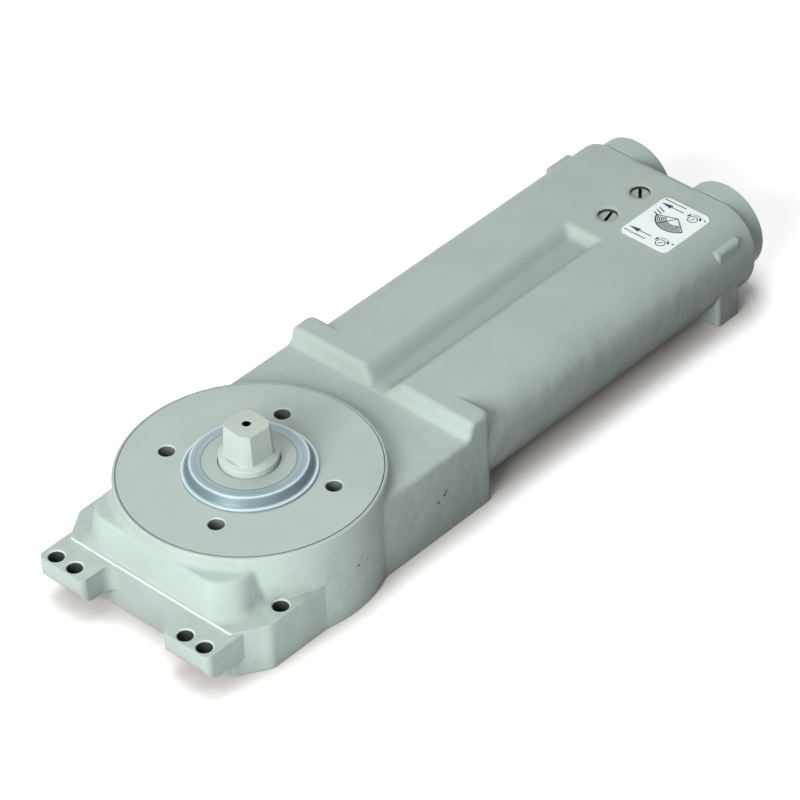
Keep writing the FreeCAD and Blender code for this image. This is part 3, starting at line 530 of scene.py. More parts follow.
@dataclass(frozen=True)
class CastPaint(DrilledPaint):
    """Paint on the casting: cast skin under it, scuffs through it, and bare bores.

    A pair of levels along an axis is in metres: the level that gives nothing, and the level that gives all.
    """

    edge_highlight_gain: float = 1.4
    specular: float = 0.1
    skin: Grain = Grain(9, 3)
    skin_depth_mm: float = 0.8
    smooth_z: Flat = (0.0355, 0.028)
    smooth_skin: float = 0.2
    bare: Colour = srgb(150, 155, 152)
    bare_gloss: float = 0.08
    bore_axis: Flat = BARREL_AXIS
    bore_mm: float = 14.0
    bore_clear_mm: float = 0.03
    bore_x: float = 0.0722
    marks: tuple[Mark, ...] = ()
    scuff: Colour = srgb(84, 92, 90)
    scuff_share: float = 0.85
    scuff_matt: float = 0.1
    scuff_grain: Grain = Grain(1.6, 4, 0.65)
    scuff_ragged_mm: float = 2.6
    scuff_core: float = 0.55
    groove_x: Flat = (0.06, 0.066)
    groove_fade_mm: float = 4.0
    groove_half_mm: float = 12.0
    groove_edge_mm: float = 3.0
    # Painted shade low in the groove between the barrels.
    groove_shade_gain: float = 0.8
    groove_shade_half_mm: float = 8.0
    groove_shade_x: Flat = (0.166, 0.16)
    groove_shade_z: Flat = (0.0366, 0.0328)
    # Painted highlight along the edge of the front step.
    step: Colour = srgb(226, 236, 230)
    step_x: Flat = (-0.0472, -0.0475)
    step_foot_z: Flat = (0.0175, 0.0177)
    step_top_z: Flat = (0.01835, 0.01825)

    def groove(self, net: Net, place: Value, half_mm: float) -> Value:
        """Find the groove between the barrels.

        Args:
            net: Net that takes the nodes.
            place: Place on the piece.
            half_mm: Half the width of the find.

        Returns:
            1 along the groove and 0 elsewhere.
        """
        along, across, _ = net.axes(place)
        beside = abs(across).between((half_mm + self.groove_fade_mm) * MM, half_mm * MM)
        return beside * along.between(*self.groove_x)

    def shape(self, net: Net, place: Value) -> Value:
        """Give the normal under the paint, with wide round edges along the groove."""
        groove = self.groove(net, place, self.groove_half_mm)
        return net.blend(groove, super().shape(net, place), net.rounded(self.groove_edge_mm))

    def tone(self, net: Net, place: Value) -> Value:
        """Give the paint's colour, with painted shade low in the groove and a painted highlight along the
        front step.

        Args:
            net: Net that takes the nodes.
            place: Place on the piece.

        Returns:
            The colour.
        """
        along, _, up = net.axes(place)
        groove = self.groove(net, place, self.groove_shade_half_mm)
        # Painted shade low in the groove between the barrels.
        low = groove * up.between(*self.groove_shade_z) * along.between(*self.groove_shade_x)
        groove_shaded = net.mix(low, super().tone(net, place), self.shifted(self.groove_shade_gain))
        # Painted highlight along the edge of the front step.
        step = along.between(*self.step_x) * up.between(*self.step_foot_z) * up.between(*self.step_top_z)
        return net.mix(step, groove_shaded, self.step)

    def scuffed(self, net: Net, place: Value) -> Value:
        """Find the scuffs.

        Args:
            net: Net that takes the nodes.
            place: Place on the piece.

        Returns:
            1 in a scuff and 0 beside it.
        """
        ragged = (net.noise(place, self.scuff_grain) - 0.5) * (self.scuff_ragged_mm * MM)
        shares = []
        for mark in self.marks:
            x, y, z = mark.place_mm
            off = net.distance(place, (x * MM, y * MM, z * MM)) + ragged
            shares.append(off.between(mark.radius_mm * MM, mark.radius_mm * self.scuff_core * MM))
        return functools.reduce(Value.most, shares)

    def bored(self, net: Net, place: Value) -> Value:
        """Find the bare bores of the barrels.

        Args:
            net: Net that takes the nodes.
            place: Place on the piece.

        Returns:
            1 in a bore and 0 on the painted outside.
        """
        along, across, up = net.axes(place)
        clear = self.bore_clear_mm * MM
        limit = self.bore_mm * MM
        off = net.distance(net.flat(abs(across), up), (*self.bore_axis, 0.0))
        inside = off.between(limit + 2 * clear, limit + clear)
        return inside * along.between(self.bore_x - clear, self.bore_x)

    def shade(self, net: Net) -> None:
        """Fill the material's net.

        Args:
            net: Net that takes the nodes.
        """
        place = net.place()
        bare = self.bored(net, place)
        scuff = self.scuffed(net, place)
        rough = self.smooth_skin + net.axes(place)[2].between(*self.smooth_z) * (1 - self.smooth_skin)
        skin = net.noise(place, self.skin) * rough
        painted = net.mix(scuff * self.scuff_share, self.tone(net, place), self.scuff)
        net.surface({
            "Base Color": net.mix(bare, painted, self.bare),
            "Roughness": self.gloss(net, place) + scuff * self.scuff_matt - bare * self.bare_gloss,
            "Specular IOR Level": self.specular,
            "Metallic": bare,
            "Normal": net.bump(skin, self.skin_depth_mm, self.peel(net, place)),
        })


@dataclass(frozen=True)
class SpindlePaint(DrilledPaint):
    """Paint on the spindle's outer end, above bare ground steel."""

    bare: Colour = srgb(178, 180, 182)
    bare_gloss: float = 0.12
    paint_z: Flat = (0.0365, 0.0364)

    def shade(self, net: Net) -> None:
        """Fill the material's net.

        Args:
            net: Net that takes the nodes.
        """
        place = net.place()
        bare = net.axes(place)[2].between(*self.paint_z)
        net.surface({
            "Base Color": net.mix(bare, self.tone(net, place), self.bare),
            "Roughness": self.gloss(net, place) - bare * self.bare_gloss,
            "Specular IOR Level": self.specular,
            "Metallic": bare,
            "Normal": self.peel(net, place),
        })


class Lay(Enum):
    """Direction about which a metal piece was turned, as the two axes across it."""

    UP = (0, 1)
    ALONG = (1, 2)


@dataclass(frozen=True)
class LightShadeBand:
    """A ring of another colour on a turned piece: a painted highlight where lighter, painted shade where
    darker.
    """

    radius_mm: float
    half_mm: float
    colour: Colour


@dataclass(frozen=True)
class TurnedMetal(Finish):
    """Metal with fine rings from turning, clouded by its plating, with painted highlights on its edges and
    rings of painted highlight and shade.
    """

    roughness: float = 0.28
    metallic: float = 1.0
    lay: Lay = Lay.UP
    centre: Flat = (0.0, 0.0)
    ring_mm: float = 0.35
    ring_depth_mm: float = 0.004
    ring_matt: float = 0.03
    wobble: Grain = Grain(9)
    wobble_mm: float = 0.1
    cloud: Colour = srgb(200, 205, 205)
    clouds: Patches = Patches(Grain(5, 4, 0.6), (0.35, 0.7), 0.35)
    cloud_matt: float = 0.1
    edge_mm: float = 0.2
    edge_highlight_gain: float = 1.2
    round_mm: float = 0.15
    light_shade_bands: tuple[LightShadeBand, ...] = ()

    def radius(self, net: Net, place: Value) -> Value:
        """Measure from the axis of turning, with a slight wobble.

        Args:
            net: Net that takes the nodes.
            place: Place on the piece.

        Returns:
            The radius in metres, from the nearer axis where two pieces mirror each other.
        """
        parts = net.axes(place)
        pairs = zip(self.lay.value, self.centre)
        first, second = [abs(parts[axis]) if middle else parts[axis] for axis, middle in pairs]
        wobble = (net.noise(place, self.wobble) - 0.5) * (self.wobble_mm * MM)
        return net.distance(net.flat(first, second), (*self.centre, 0.0)) + wobble

    def shade(self, net: Net) -> None:
        """Fill the material's net.

        Args:
            net: Net that takes the nodes.
        """
        place = net.place()
        radius = self.radius(net, place)
        rings = (radius * (2 * math.pi / (self.ring_mm * MM))).sine()
        cloud = self.clouds.find(net, place)
        tone = net.mix(cloud * self.clouds.share, self.colour, self.cloud)
        # Rings of painted highlight and painted shade.
        for light_shade_band in self.light_shade_bands:
            near = abs(radius - light_shade_band.radius_mm * MM).between(light_shade_band.half_mm * MM, light_shade_band.half_mm * MM / 2)
            tone = net.mix(near, tone, light_shade_band.colour)
        net.surface({
            # Lighter edges: a painted highlight.
            "Base Color": net.mix(net.edges(self.edge_mm), tone, self.shifted(self.edge_highlight_gain)),
            "Roughness": self.roughness + rings * self.ring_matt + (cloud - 0.5) * self.cloud_matt,
            "Metallic": self.metallic,
            "Normal": net.bump(rings, self.ring_depth_mm, net.rounded(self.round_mm)),
        })


@dataclass(frozen=True)
class PatchedFinish(Finish):
    """A surface with patches of a second colour on a fine skin."""

    patch: Colour
    patches: Patches
    roughness: float
    patch_matt: float
    skin: Grain
    skin_depth_mm: float

    def inputs(self, net: Net, place: Value, patch: Value) -> dict[str | int, Term]:
        """List what the shader takes.

        Args:
            net: Net that takes the nodes.
            place: Place on the piece.
            patch: 1 in a patch and 0 beside it.

        Returns:
            The shader's inputs by name.
        """
        return {
            "Base Color": net.mix(patch * self.patches.share, self.colour, self.patch),
            "Roughness": self.roughness + patch * self.patch_matt,
            "Normal": net.bump(net.noise(place, self.skin), self.skin_depth_mm),
        }

    def shade(self, net: Net) -> None:
        """Fill the material's net."""
        place = net.place()
        net.surface(self.inputs(net, place, self.patches.find(net, place)))


@dataclass(frozen=True)
class DrawnWire(PatchedFinish):
    """Oil-blackened spring wire with a dry brown bloom."""

    patch: Colour = srgb(96, 84, 72)
    patches: Patches = Patches(Grain(7, 4, 0.65), (0.5, 0.75), 0.5)
    roughness: float = 0.38
    patch_matt: float = 0.25
    skin: Grain = Grain(0.5, 3, 0.6)
    skin_depth_mm: float = 0.01
    metallic: float = 0.9
    patch_dull: float = 0.5

    def inputs(self, net: Net, place: Value, patch: Value) -> dict[str | int, Term]:
        """List what the shader takes, with less metal in the bloom."""
        return {**super().inputs(net, place, patch), "Metallic": self.metallic - patch * self.patch_dull}


@dataclass(frozen=True)
class Rubber(PatchedFinish):
    """Matt black rubber with a pale bloom."""

    patch: Colour = srgb(60, 60, 60)
    patches: Patches = Patches(Grain(4, 4, 0.6), (0.45, 0.8), 0.4)
    roughness: float = 0.55
    patch_matt: float = 0.2
    skin: Grain = Grain(0.4)
    skin_depth_mm: float = 0.008


@dataclass(frozen=True)
class LabelFilm(PatchedFinish):
    """White printed film, a little grey with handling."""

    patch: Colour = srgb(190, 200, 200)
    patches: Patches = Patches(Grain(8, 4, 0.6), (0.5, 0.85), 0.35)
    roughness: float = 0.42
    patch_matt: float = 0.15
    skin: Grain = Grain(2.5, 3)
    skin_depth_mm: float = 0.006


@dataclass(frozen=True)
class Ink(Finish):
    """Printing ink, thinner in places."""

    thin: Colour = srgb(60, 64, 66)
    thins: Patches = Patches(Grain(0.9, 3, 0.7), (0.45, 0.8), 0.5)
    roughness: float = 0.4
    thin_matt: float = 0.15

    def shade(self, net: Net) -> None:
        """Fill the material's net.

        Args:
            net: Net that takes the nodes.
        """
        thin = self.thins.find(net, net.place())
        net.surface({
            "Base Color": net.mix(thin * self.thins.share, self.colour, self.thin),
            "Roughness": self.roughness + thin * self.thin_matt,
        })


@dataclass(frozen=True)
class Area:
    """A box on the floor and how far past it its hold fades out, in metres."""

    middle: Flat
    half: Flat
    reach: float


@dataclass(frozen=True)
class PaleFloor(Finish):
    """Pale floor that shows white and keeps shadows; beside the body its light-carrying colour is a painted
    shadow, and a painted contact shadow darkens it round the body.
    """

    # Colour that carries light beside the body: a painted shadow.
    near: Colour = (0.01, 0.01, 0.01)
    glow: Colour = (0.4, 0.4, 0.4)
    # Colour of the painted contact shadow.
    painted_contact_shadow: Colour = srgb(216, 209, 204)
    contact_reach: float = 0.013
    contact_levels: Flat = (0.5, 0.98)
    shadow_below: Area = Area((0.075, 0.0), (0.15, 0.03), 0.03)
    shadow_behind: Area = Area((0.17, 0.0), (0.1, 0.1), 0.1)
    shadow: Area = Area((0.075, 0.0), (0.12, 0.028), 0.036)

    @staticmethod
    def away(net: Net, area: Area) -> Value:
        """Find how far a place is from an area.

        Args:
            net: Net that takes the nodes.
            area: Box on the floor.

        Returns:
            0 in the box, rising to 1 at its reach.
        """
        sides = zip(net.axes(net.place()), area.middle, area.half)
        off = [(abs(part - middle) - half).most(0.0) for part, middle, half in sides]
        return net.distance(net.flat(*off), ORIGIN).between(0.0, area.reach)

    def shade(self, net: Net) -> None:
        """Fill the material's net.

        Args:
            net: Net that takes the nodes.
        """
        seen = net.seen()
        # Beside and behind the body the light-carrying colour is a painted shadow.
        unshadowed_share = self.away(net, self.shadow_below) * self.away(net, self.shadow_behind)
        bounce = net.mix(unshadowed_share, self.near, self.colour)
        # Painted contact shadow where the body closes the floor in.
        clear = net.openness(self.contact_reach).between(*self.contact_levels)
        shown = net.mix(clear, self.painted_contact_shadow, WHITE)
        matt = net.node("ShaderNodeBsdfDiffuse", {}, {"Color": net.mix(seen, bounce, shown)})
        glow = net.mix(seen * self.away(net, self.shadow), BLACK, self.glow)
        white = net.node("ShaderNodeEmission", {}, {"Color": glow})
        both = net.node("ShaderNodeAddShader", {}, {0: matt, 1: white})
        net.node("ShaderNodeOutputMaterial", {}, {"Surface": both})


def dress(node: str, material: bpy.types.Material) -> None:
    """Give one CAD node its material.

    Args:
        node: Name of the node.
        material: What it is dressed with.
    """
    piece = bpy.data.objects[node]
    piece.data.materials.clear()
    piece.data.materials.append(material)
    log.info("dressed %s with %s", node, material.name)


def added(name: str, data: bpy.types.ID) -> bpy.types.Object:
    """Add an object to the scene.

    Args:
        name: Name of the object.
        data: Its mesh, lamp or camera.

    Returns:
        The object, at the origin.
    """
    piece = bpy.data.objects.new(name, data)
    bpy.context.scene.collection.objects.link(piece)
    return piece


def meshed(name: str, mesh: bmesh.types.BMesh) -> bpy.types.Mesh:
    """Turn an edited mesh into mesh data, and free it.

    Args:
        name: Name of the data.
        mesh: The edited mesh.

    Returns:
        The data.
    """
    data = bpy.data.meshes.new(name)
    mesh.to_mesh(data)
    mesh.free()
    return data


@dataclass
class Casting:
    """The painted body with its fixing holes, valve holes and scuffs."""

    colour: Colour
    ear_x_mm: float = -56.5
    ear_y_mm: Flat = (25.0, 33.5)
    ear_top_mm: float = 17.4
    corner_x_mm: float = -27.5
    corner_y_mm: float = 38.9
    corner_top_mm: float = 18.2
    fixing_mouth_mm: float = 3.2
    # Colour of the fixing holes' walls: a painted shade.
    fixing_wall_shade: Colour = srgb(68, 76, 72)
    valve_x_mm: Flat = (177.0, 194.2)
    valve_mouth_mm: float = 4.8
    valve_lip_mm: float = 0.05
    valve_worn: Colour = srgb(180, 186, 180)
    # Colour of the valve bores' walls: a painted shade.
    valve_wall_shade: Colour = srgb(50, 55, 53)
    top_mm: float = 36.85
    marks: tuple[Mark, ...] = (
        Mark((48.5, -40.6, 17.6), 0.9),
        Mark((47.8, -40.6, 16.2), 0.7),
        Mark((44.6, -40.6, 15.0), 0.7),
        Mark((2.3, -44.7, 18.4), 0.8),
        Mark((7.0, -44.2, 17.6), 0.6),
    )

    def holes(self) -> list[Hole]:
        """List the upright holes of the casting.

        Returns:
            The fixing holes and the valve holes.
        """
        places = [(self.ear_x_mm, y, self.ear_top_mm) for y in self.ear_y_mm]
        places.append((self.corner_x_mm, self.corner_y_mm, self.corner_top_mm))
        listed = [
            Hole(x, side * y, self.fixing_mouth_mm, top, self.fixing_wall_shade)
            for x, y, top in places
            for side in (-1, 1)
        ]
        for x in self.valve_x_mm:
            mouth = {"lip_mm": self.valve_lip_mm, "worn": self.valve_worn}
            listed.append(Hole(x, 0.0, self.valve_mouth_mm, self.top_mm, self.valve_wall_shade, **mouth))
        return listed

    def dress(self) -> None:
        """Paint the casting."""
        paint = CastPaint("body_paint", self.colour, holes=tuple(self.holes()), marks=self.marks)
        dress("housing", paint.material())


@dataclass
class CoverGroup:
    """Round cover with the ring, washer, seals and bearings in and under it."""

    colour: Colour
    washer: Paint
    zinc: TurnedMetal
    bronze: TurnedMetal
    ground: bpy.types.Material
    rubber: bpy.types.Material
    pin_count: int = 4
    pin_circle_mm: float = 29.0
    pin_first_deg: float = 22.6
    pin_mouth_mm: float = 3.05
    # Colour of the pin holes' walls: a painted shade.
    pin_wall_shade: Colour = srgb(112, 121, 116)
    top_mm: float = 36.25

    def pin_holes(self) -> list[Hole]:
        """List the holes for the pin wrench.

        Returns:
            The holes, evenly spaced on their circle.
        """
        listed = []
        for index in range(self.pin_count):
            turn = math.radians(self.pin_first_deg + FULL_TURN_DEG * index / self.pin_count)
            x, y = self.pin_circle_mm * math.cos(turn), self.pin_circle_mm * math.sin(turn)
            listed.append(Hole(x, y, self.pin_mouth_mm, self.top_mm, self.pin_wall_shade))
        return listed

    def dress(self) -> None:
        """Give each piece its finish."""
        cover = CoverPaint("cover_paint", self.colour, holes=tuple(self.pin_holes()))
        dress("cover_plate", cover.material())
        dress("spindle_washer", self.washer.material())
        dress("retainer_ring", self.zinc.material())
        pairs = (
            (self.ground, ("bearing_cup", "bearing_rollers")),
            (self.bronze.material(), ("lower_bush", "thrust_washer")),
            (self.rubber, ("cover_seal", "lip_seal")),
        )
        for material, nodes in pairs:
            for node in nodes:
                dress(node, material)


@dataclass
class Spindle:
    """Square-headed spindle with a turning centre in its end."""

    colour: Colour
    edge_mm: float = 0.5
    edge_highlight_gain: float = 1.35
    # The centre hole's black wall is painted shade.
    centre: Hole = Hole(0.0, 0.0, 1.6, 54.8, srgb(16, 18, 18), lip_mm=0.1)

    def dress(self) -> None:
        """Paint the spindle's head."""
        edges = {"edge_mm": self.edge_mm, "edge_highlight_gain": self.edge_highlight_gain}
        paint = SpindlePaint("spindle_paint", self.colour, holes=(self.centre,), **edges)
        dress("spindle", paint.material())


class Side(Enum):
    """Side of the body that a barrel lies on."""

    LEFT = "left"
    RIGHT = "right"


@dataclass
class BarrelTrain:
    """Piston, spring and plug in one barrel."""

    side: Side
    paint: bpy.types.Material
    steel: bpy.types.Material
    polished: bpy.types.Material
    wire: bpy.types.Material
    rubber: bpy.types.Material

    def dress(self) -> None:
        """Give each piece its finish."""
        finishes = {
            "end_plug": self.paint,
            "rack_piston": self.steel,
            "check_retainer": self.steel,
            "spring_seat": self.steel,
            "check_ball": self.polished,
            "spring": self.wire,
            "piston_ring": self.rubber,
            "plug_ring": self.rubber,
        }
        for piece, material in finishes.items():
            dress(f"{self.side.value}_{piece}", material)

    def build(self) -> None:
        """Copy the spring into a coil piece of its own and hide the CAD node."""
        side = self.side.value
        node = bpy.data.objects[f"{side}_spring"]
        piece = added(f"{side}_spring_coil", node.data.copy())
        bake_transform(piece)
        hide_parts(node.name)
        log.info("coiled %s", piece.name)


@dataclass
class SpeedValves:
    """The two slotted speed valves."""

    paint: SlottedPaint
    rubber: bpy.types.Material

    def dress(self) -> None:
        """Give each valve and its seal a finish."""
        painted = self.paint.material()
        for name in ("closing_speed_valve", "latching_speed_valve"):
            dress(name, painted)
            dress(name + "_ring", self.rubber)


def on_circle(centre: Flat, radius: float, turn: float) -> Flat:
    """Give the point of a circle at an angle in radians."""
    return centre[0] + radius * math.cos(turn), centre[1] + radius * math.sin(turn)


@dataclass
class Pen:
    """Draws filled strokes on a flat print, in millimetres."""

    mesh: bmesh.types.BMesh
    arc_step_deg: float = 9.0
    fewest_steps: int = 4

    def patch(self, corners: Iterable[Flat]) -> None:
        """Draw one filled outline."""
        self.mesh.faces.new([self.mesh.verts.new((u, v, 0.0)) for u, v in corners])

    def bar(self, start: Flat, end: Flat, width: float) -> None:
        """Draw a straight stroke.

        Args:
            start: Middle of one end.
            end: Middle of the other end.
            width: Width of the stroke.
        """
        first, second = Vector(start), Vector(end)
        way = second - first
        beside = Vector((-way.y, way.x)).normalized() * width / 2
        corners = (first - beside, second - beside, second + beside, first + beside)
        self.patch([tuple(corner) for corner in corners])

    def arc(self, centre: Flat, radius: float, width: float, span_deg: Flat) -> None:
        """Draw a round stroke of small quads.

        Args:
            centre: Centre of the arc.
            radius: Radius in the middle of the stroke.
            width: Width of the stroke.
            span_deg: Angles of its two ends.
        """
        start, end = span_deg
        sweep = end - start
        count = max(self.fewest_steps, round(abs(sweep) / self.arc_step_deg))
        turns = [math.radians(start + sweep * step / count) for step in range(count + 1)]
        if abs(sweep) >= FULL_TURN_DEG:
            turns.pop()
        rails = []
        for reach in (radius - width / 2, radius + width / 2):
            places = [on_circle(centre, reach, turn) for turn in turns]
            rails.append([self.mesh.verts.new((u, v, 0.0)) for u, v in places])
        inner, outer = rails
        for step in range(count):
            after = (step + 1) % len(inner)
            self.mesh.faces.new((inner[step], outer[step], outer[after], inner[after]))


@dataclass(frozen=True)
class ScrewSign:
    """A slotted screw head with a turning arrow round it and a dash beside it."""

    head_r: float = 1.7
    head_line: float = 0.34
    slot_half: float = 0.9
    slot_line: float = 0.4
    arrow_r: float = 2.75
    arrow_line: float = 0.26
    arrow_deg: Flat = (165.0, 40.0)
    tip_deg: Flat = (178.0, 14.0)
    tip_turn: float = 0.6
    tip_radii: Flat = (3.45, 2.1)
    dash_u: Flat = (3.2, 4.2)
    dash_v: float = 2.2
    dash_line: float = 0.45

    def draw(self, pen: Pen, centre: Flat, slot_deg: float) -> None:
        """Draw the sign.

        Args:
            pen: What draws.
            centre: Middle of the screw.
            slot_deg: Direction of its slot.
        """
        u, v = centre
        pen.arc(centre, self.head_r, self.head_line, (0.0, FULL_TURN_DEG))
        turn = math.radians(slot_deg)
        ends = [on_circle(centre, reach, turn) for reach in (-self.slot_half, self.slot_half)]
        pen.bar(*ends, self.slot_line)
        pen.arc(centre, self.arrow_r, self.arrow_line, self.arrow_deg)
        for tip_deg, way in zip(self.tip_deg, (-1, 1)):
            tip = math.radians(tip_deg)
            back = [on_circle(centre, radius, tip + way * self.tip_turn) for radius in self.tip_radii]
            pen.patch([on_circle(centre, self.arrow_r, tip), *back])
        dash = [(u + across, v + self.dash_v) for across in self.dash_u]
        pen.bar(*dash, self.dash_line)


@dataclass(frozen=True)
class DoorSign:
    """A door's swing in plan: a hatched sector, the leaf and the wall."""

    hinge: Flat = (20.4, 190.2)
    hatch_radii: tuple[float, ...] = (4.2, 4.9, 5.6, 6.3, 7.0)
    hatch_line: float = 0.42
    hatch_deg: Flat = (206.0, 316.0)
    rim_r: float = 7.8
    rim_line: float = 0.6
    rim_deg: Flat = (200.0, 320.0)
    leaf_deg: Place = (200.0, 238.0, 320.0)
    leaf_line: float = 0.4
    wall_start: Flat = (-9.2, 1.2)
    wall_end: Flat = (-6.2, 0.1)
    wall_pitch: float = 1.5
    wall_count: int = 3
    wall_line: float = 0.42

    def draw(self, pen: Pen) -> None:
        """Draw the sign.

        Args:
            pen: What draws.
        """
        for radius in self.hatch_radii:
            pen.arc(self.hinge, radius, self.hatch_line, self.hatch_deg)
        pen.arc(self.hinge, self.rim_r, self.rim_line, self.rim_deg)
        for turn_deg in self.leaf_deg:
            pen.bar(self.hinge, on_circle(self.hinge, self.rim_r, math.radians(turn_deg)), self.leaf_line)
        u, v = self.hinge
        for step in range(self.wall_count):
            level = v - self.wall_pitch * step
            start, end = [(u + across, level + rise) for across, rise in (self.wall_start, self.wall_end)]
            pen.bar(start, end, self.wall_line)


@dataclass(frozen=True)
class ValveRow:
    """Signs for one valve: a screw, an arrow to the valve and a row of bars."""

    screw_v: float
    bars_v: float
    slot_deg: float
    screw: ScrewSign = ScrewSign()
    screw_u: float = 24.4
    arrow_rise: float = 0.9
    arrow_u: Place = (9.7, 14.4, 19.8)
    arrow_half: float = 1.0
    arrow_line: float = 0.4
    bars_u: float = 9.8
    bar_count: int = 9
    bar_pitch: float = 1.05
    bar_lean: float = 0.5
    bar_half: float = 0.35
    bar_line: float = 0.5

    def draw(self, pen: Pen) -> None:
        """Draw the row.

        Args:
            pen: What draws.
        """
        self.screw.draw(pen, (self.screw_u, self.screw_v), self.slot_deg)
        tip, neck, end = self.arrow_u
        level = self.screw_v + self.arrow_rise
        pen.patch([(tip, level), (neck, level - self.arrow_half), (neck, level + self.arrow_half)])
        pen.bar((neck, level), (end, level), self.arrow_line)
        for step in range(self.bar_count):
            start = self.bars_u + self.bar_pitch * step
            foot = (start, self.bars_v - self.bar_half)
            top = (start + self.bar_lean, self.bars_v + self.bar_half)
            pen.bar(foot, top, self.bar_line)


@dataclass
class AdjustmentLabel:
    """Printed film beside the valves, bent over the barrel's shoulder.

    Print is drawn flat, in millimetres: u runs across the body from the centre line, v along it.
    """

    film: LabelFilm
    ink: Ink
    rows: tuple[ValveRow, ...] = (ValveRow(193.1, 196.4, 75.0), ValveRow(175.9, 174.4, 51.0))
    door: DoorSign = DoorSign()
    flat_u: float = 25.4
    bend_r: float = 15.25
    bend_cuts: int = 9
    bend_step: float = 0.5
    top_z: float = 37.10
    ink_rise: float = 0.03
    ink_root: float = 0.06

    def bent(self, u: float, v: float, rise: float) -> Vector:
        """Put a flat point on the film.

        Args:
            u: Way across the body, along the film.
            v: Way along the body.
            rise: Height above the film.

        Returns:
            The place in metres.
        """
        turn = max(0.0, u - self.flat_u) / self.bend_r
        reach = self.bend_r + rise
        across = min(u, self.flat_u) + reach * math.sin(turn)
        level = self.top_z - self.bend_r + reach * math.cos(turn)
        return Vector((v, -across, level)) * MM

    def build(self) -> bpy.types.Object:
        """Print the label.

        Returns:
            The print, as thin closed patches on the film.
        """
        mesh = bmesh.new()
        pen = Pen(mesh)
        for row in self.rows:
            row.draw(pen)
        self.door.draw(pen)
        bmesh.ops.recalc_face_normals(mesh, faces=mesh.faces)
        for step in range(self.bend_cuts):
            cut = (self.flat_u + self.bend_step * step, 0.0, 0.0)
            every = [*mesh.verts, *mesh.edges, *mesh.faces]
            bmesh.ops.bisect_plane(mesh, geom=every, plane_co=cut, plane_no=(1.0, 0.0, 0.0))
        grown = bmesh.ops.extrude_face_region(mesh, geom=list(mesh.faces))
        raised = {part for part in grown["geom"] if isinstance(part, bmesh.types.BMVert)}
        for vert in mesh.verts:
            rise = self.ink_rise if vert in raised else -self.ink_root
            vert.co = self.bent(vert.co.x, vert.co.y, rise)
        bmesh.ops.recalc_face_normals(mesh, faces=mesh.faces)
        piece = added("label_print", meshed("label_print", mesh))
        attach(piece, "body")
        return piece

    def dress(self) -> None:
        """Give the film and its print their finishes."""
        dress("adjustment_label", self.film.material())
        piece = self.build()
        piece.data.materials.append(self.ink.material())
        log.info("printed the label with %d faces", len(piece.data.polygons))


@dataclass(frozen=True)
class Lamp:
    """A soft square lamp that faces the object."""

    name: str
    place: Place
    size: float
    power: float


@dataclass
class Studio:
    """Floor, world, lamps and camera."""

    floor: PaleFloor
    lamps: tuple[Lamp, ...]
    ambient: float
    middle: Place
    camera_place: Place
    camera_axes: tuple[Place, Place, Place]
    lens: float
    sensor: float = 36.0
    floor_half: float = 4.0
    floor_parts: int = 4
    floor_drop: float = 0.0001

    def lay_floor(self) -> None:
        """Lay the pale floor just under the base."""
        mesh = bmesh.new()
        parts = {"x_segments": self.floor_parts, "y_segments": self.floor_parts}
        bmesh.ops.create_grid(mesh, size=self.floor_half, **parts)
        piece = added("floor", meshed("floor", mesh))
        piece.data.materials.append(self.floor.material())
        piece.location.z = -self.floor_drop

    def light(self) -> None:
        """Set the lamps and the world."""
        for lamp in self.lamps:
            data = bpy.data.lights.new(lamp.name, "AREA")
            data.size = lamp.size
            data.energy = lamp.power
            piece = added(lamp.name, data)
            piece.location = lamp.place
            way = Vector(self.middle) - Vector(lamp.place)
            piece.rotation_euler = way.to_track_quat("-Z", "Y").to_euler()
        world = bpy.data.worlds.new("studio")
        world.use_nodes = True
        net = Net(world.node_tree)
        strength = self.ambient + net.seen() * (1.0 - self.ambient)
        sky = net.node("ShaderNodeBackground", {}, {"Color": WHITE, "Strength": strength})
        net.node("ShaderNodeOutputWorld", {}, {"Surface": sky})
        bpy.context.scene.world = world

    def photograph(self) -> None:
        """Set up the camera."""
        data = bpy.data.cameras.new("camera")
        data.sensor_fit = "HORIZONTAL"
        data.sensor_width = self.sensor
        data.lens = self.lens
        piece = added("camera", data)
        turn = Matrix(self.camera_axes).transposed().to_4x4()
        piece.matrix_world = Matrix.Translation(self.camera_place) @ turn
        bpy.context.scene.camera = piece

    def build(self) -> None:
        """Build the studio."""
        self.lay_floor()
        self.light()
        self.photograph()
        bpy.context.scene.view_settings.view_transform = "Standard"
        log.info("built the studio with %d lamps", len(self.lamps))


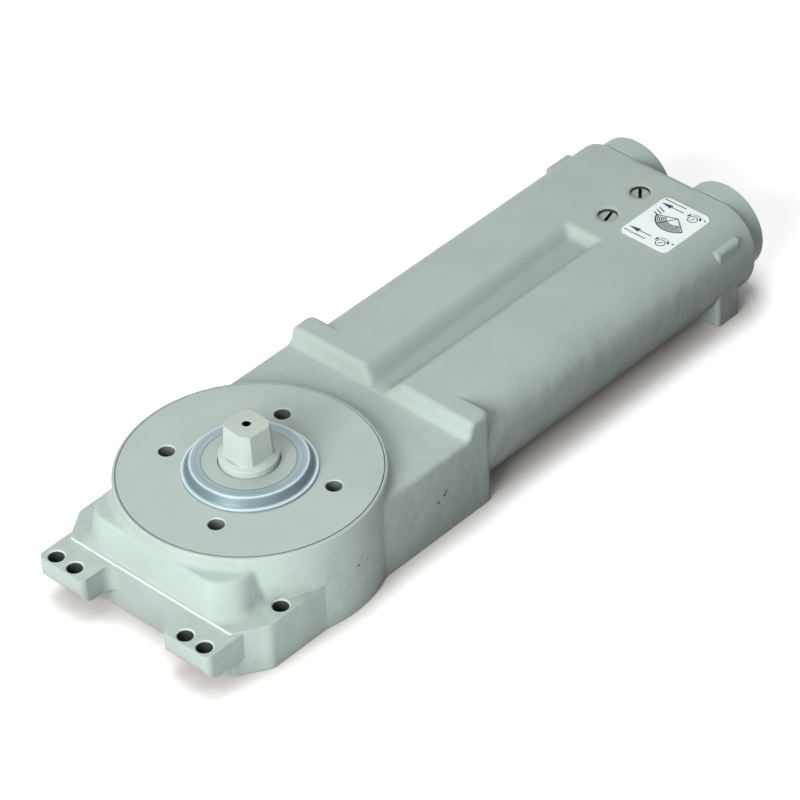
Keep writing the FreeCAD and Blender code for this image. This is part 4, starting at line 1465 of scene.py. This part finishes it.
def main() -> None:
    """Load the frame, dress each sub-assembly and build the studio."""
    logging.basicConfig(level=logging.INFO, format="%(name)s: %(message)s")
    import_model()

    green = srgb(172, 186, 179)
    polish = TurnedMetal("ground_steel", srgb(205, 207, 210), roughness=0.16, ring_depth_mm=0.001)
    ground = polish.material()
    rubber = Rubber("seal_rubber", srgb(28, 28, 29)).material()
    Casting(green).dress()
    CoverGroup(
        green,
        washer=Paint("washer_paint", srgb(164, 178, 171)),
        zinc=TurnedMetal(
            "ring_zinc",
            srgb(138, 157, 160),
            roughness=0.42,
            cloud=srgb(148, 162, 174),
            metallic=0.35,
            # Painted highlights on the crest and the lip; darker rings of painted shade at the washer's
            # edge, on the dish and in the valley.
            light_shade_bands=(
                LightShadeBand(15.7, 0.3, srgb(116, 135, 138)),
                LightShadeBand(17.5, 0.25, srgb(122, 141, 146)),
                LightShadeBand(19.3, 0.5, srgb(182, 199, 203)),
                LightShadeBand(20.5, 0.95, srgb(104, 125, 131)),
                LightShadeBand(22.0, 0.5, srgb(190, 207, 207)),
            ),
        ),
        bronze=TurnedMetal("turned_bronze", srgb(190, 150, 92), roughness=0.3, cloud=srgb(150, 112, 66)),
        ground=ground,
        rubber=rubber,
    ).dress()
    Spindle(srgb(180, 192, 184)).dress()
    steel = TurnedMetal("piston_steel", srgb(160, 163, 166), lay=Lay.ALONG, centre=BARREL_AXIS)
    shared = {
        "paint": Paint("plug_paint", green).material(),
        "steel": steel.material(),
        "polished": ground,
        "wire": DrawnWire("spring_wire", srgb(62, 64, 68)).material(),
        "rubber": rubber,
    }
    for side in Side:
        train = BarrelTrain(side, **shared)
        train.dress()
        train.build()
    SpeedValves(SlottedPaint("valve_paint", srgb(160, 172, 164)), rubber).dress()
    film = LabelFilm("white_film", srgb(240, 249, 251))
    AdjustmentLabel(film, Ink("label_ink", srgb(26, 29, 32))).dress()

    Studio(
        floor=PaleFloor("floor", WHITE),
        lamps=(
            Lamp("key", (-1.13, -0.20, 0.62), 0.8, 20.5),
            Lamp("fill", (-0.24, -0.42, 0.18), 0.3, 0.4),
            Lamp("top", (0.22, 0.30, 1.25), 0.9, 9.0),
        ),
        ambient=0.05,
        middle=(0.07, 0.0, 0.02),
        camera_place=(-0.7468, -0.7990, 0.9430),
        camera_axes=(
            (0.67711, -0.73497, -0.03666),
            (0.48147, 0.40480, 0.77738),
            (-0.55651, -0.54402, 0.62796),
        ),
        lens=198.53,
    ).build()


if __name__ == "__main__":
    main()
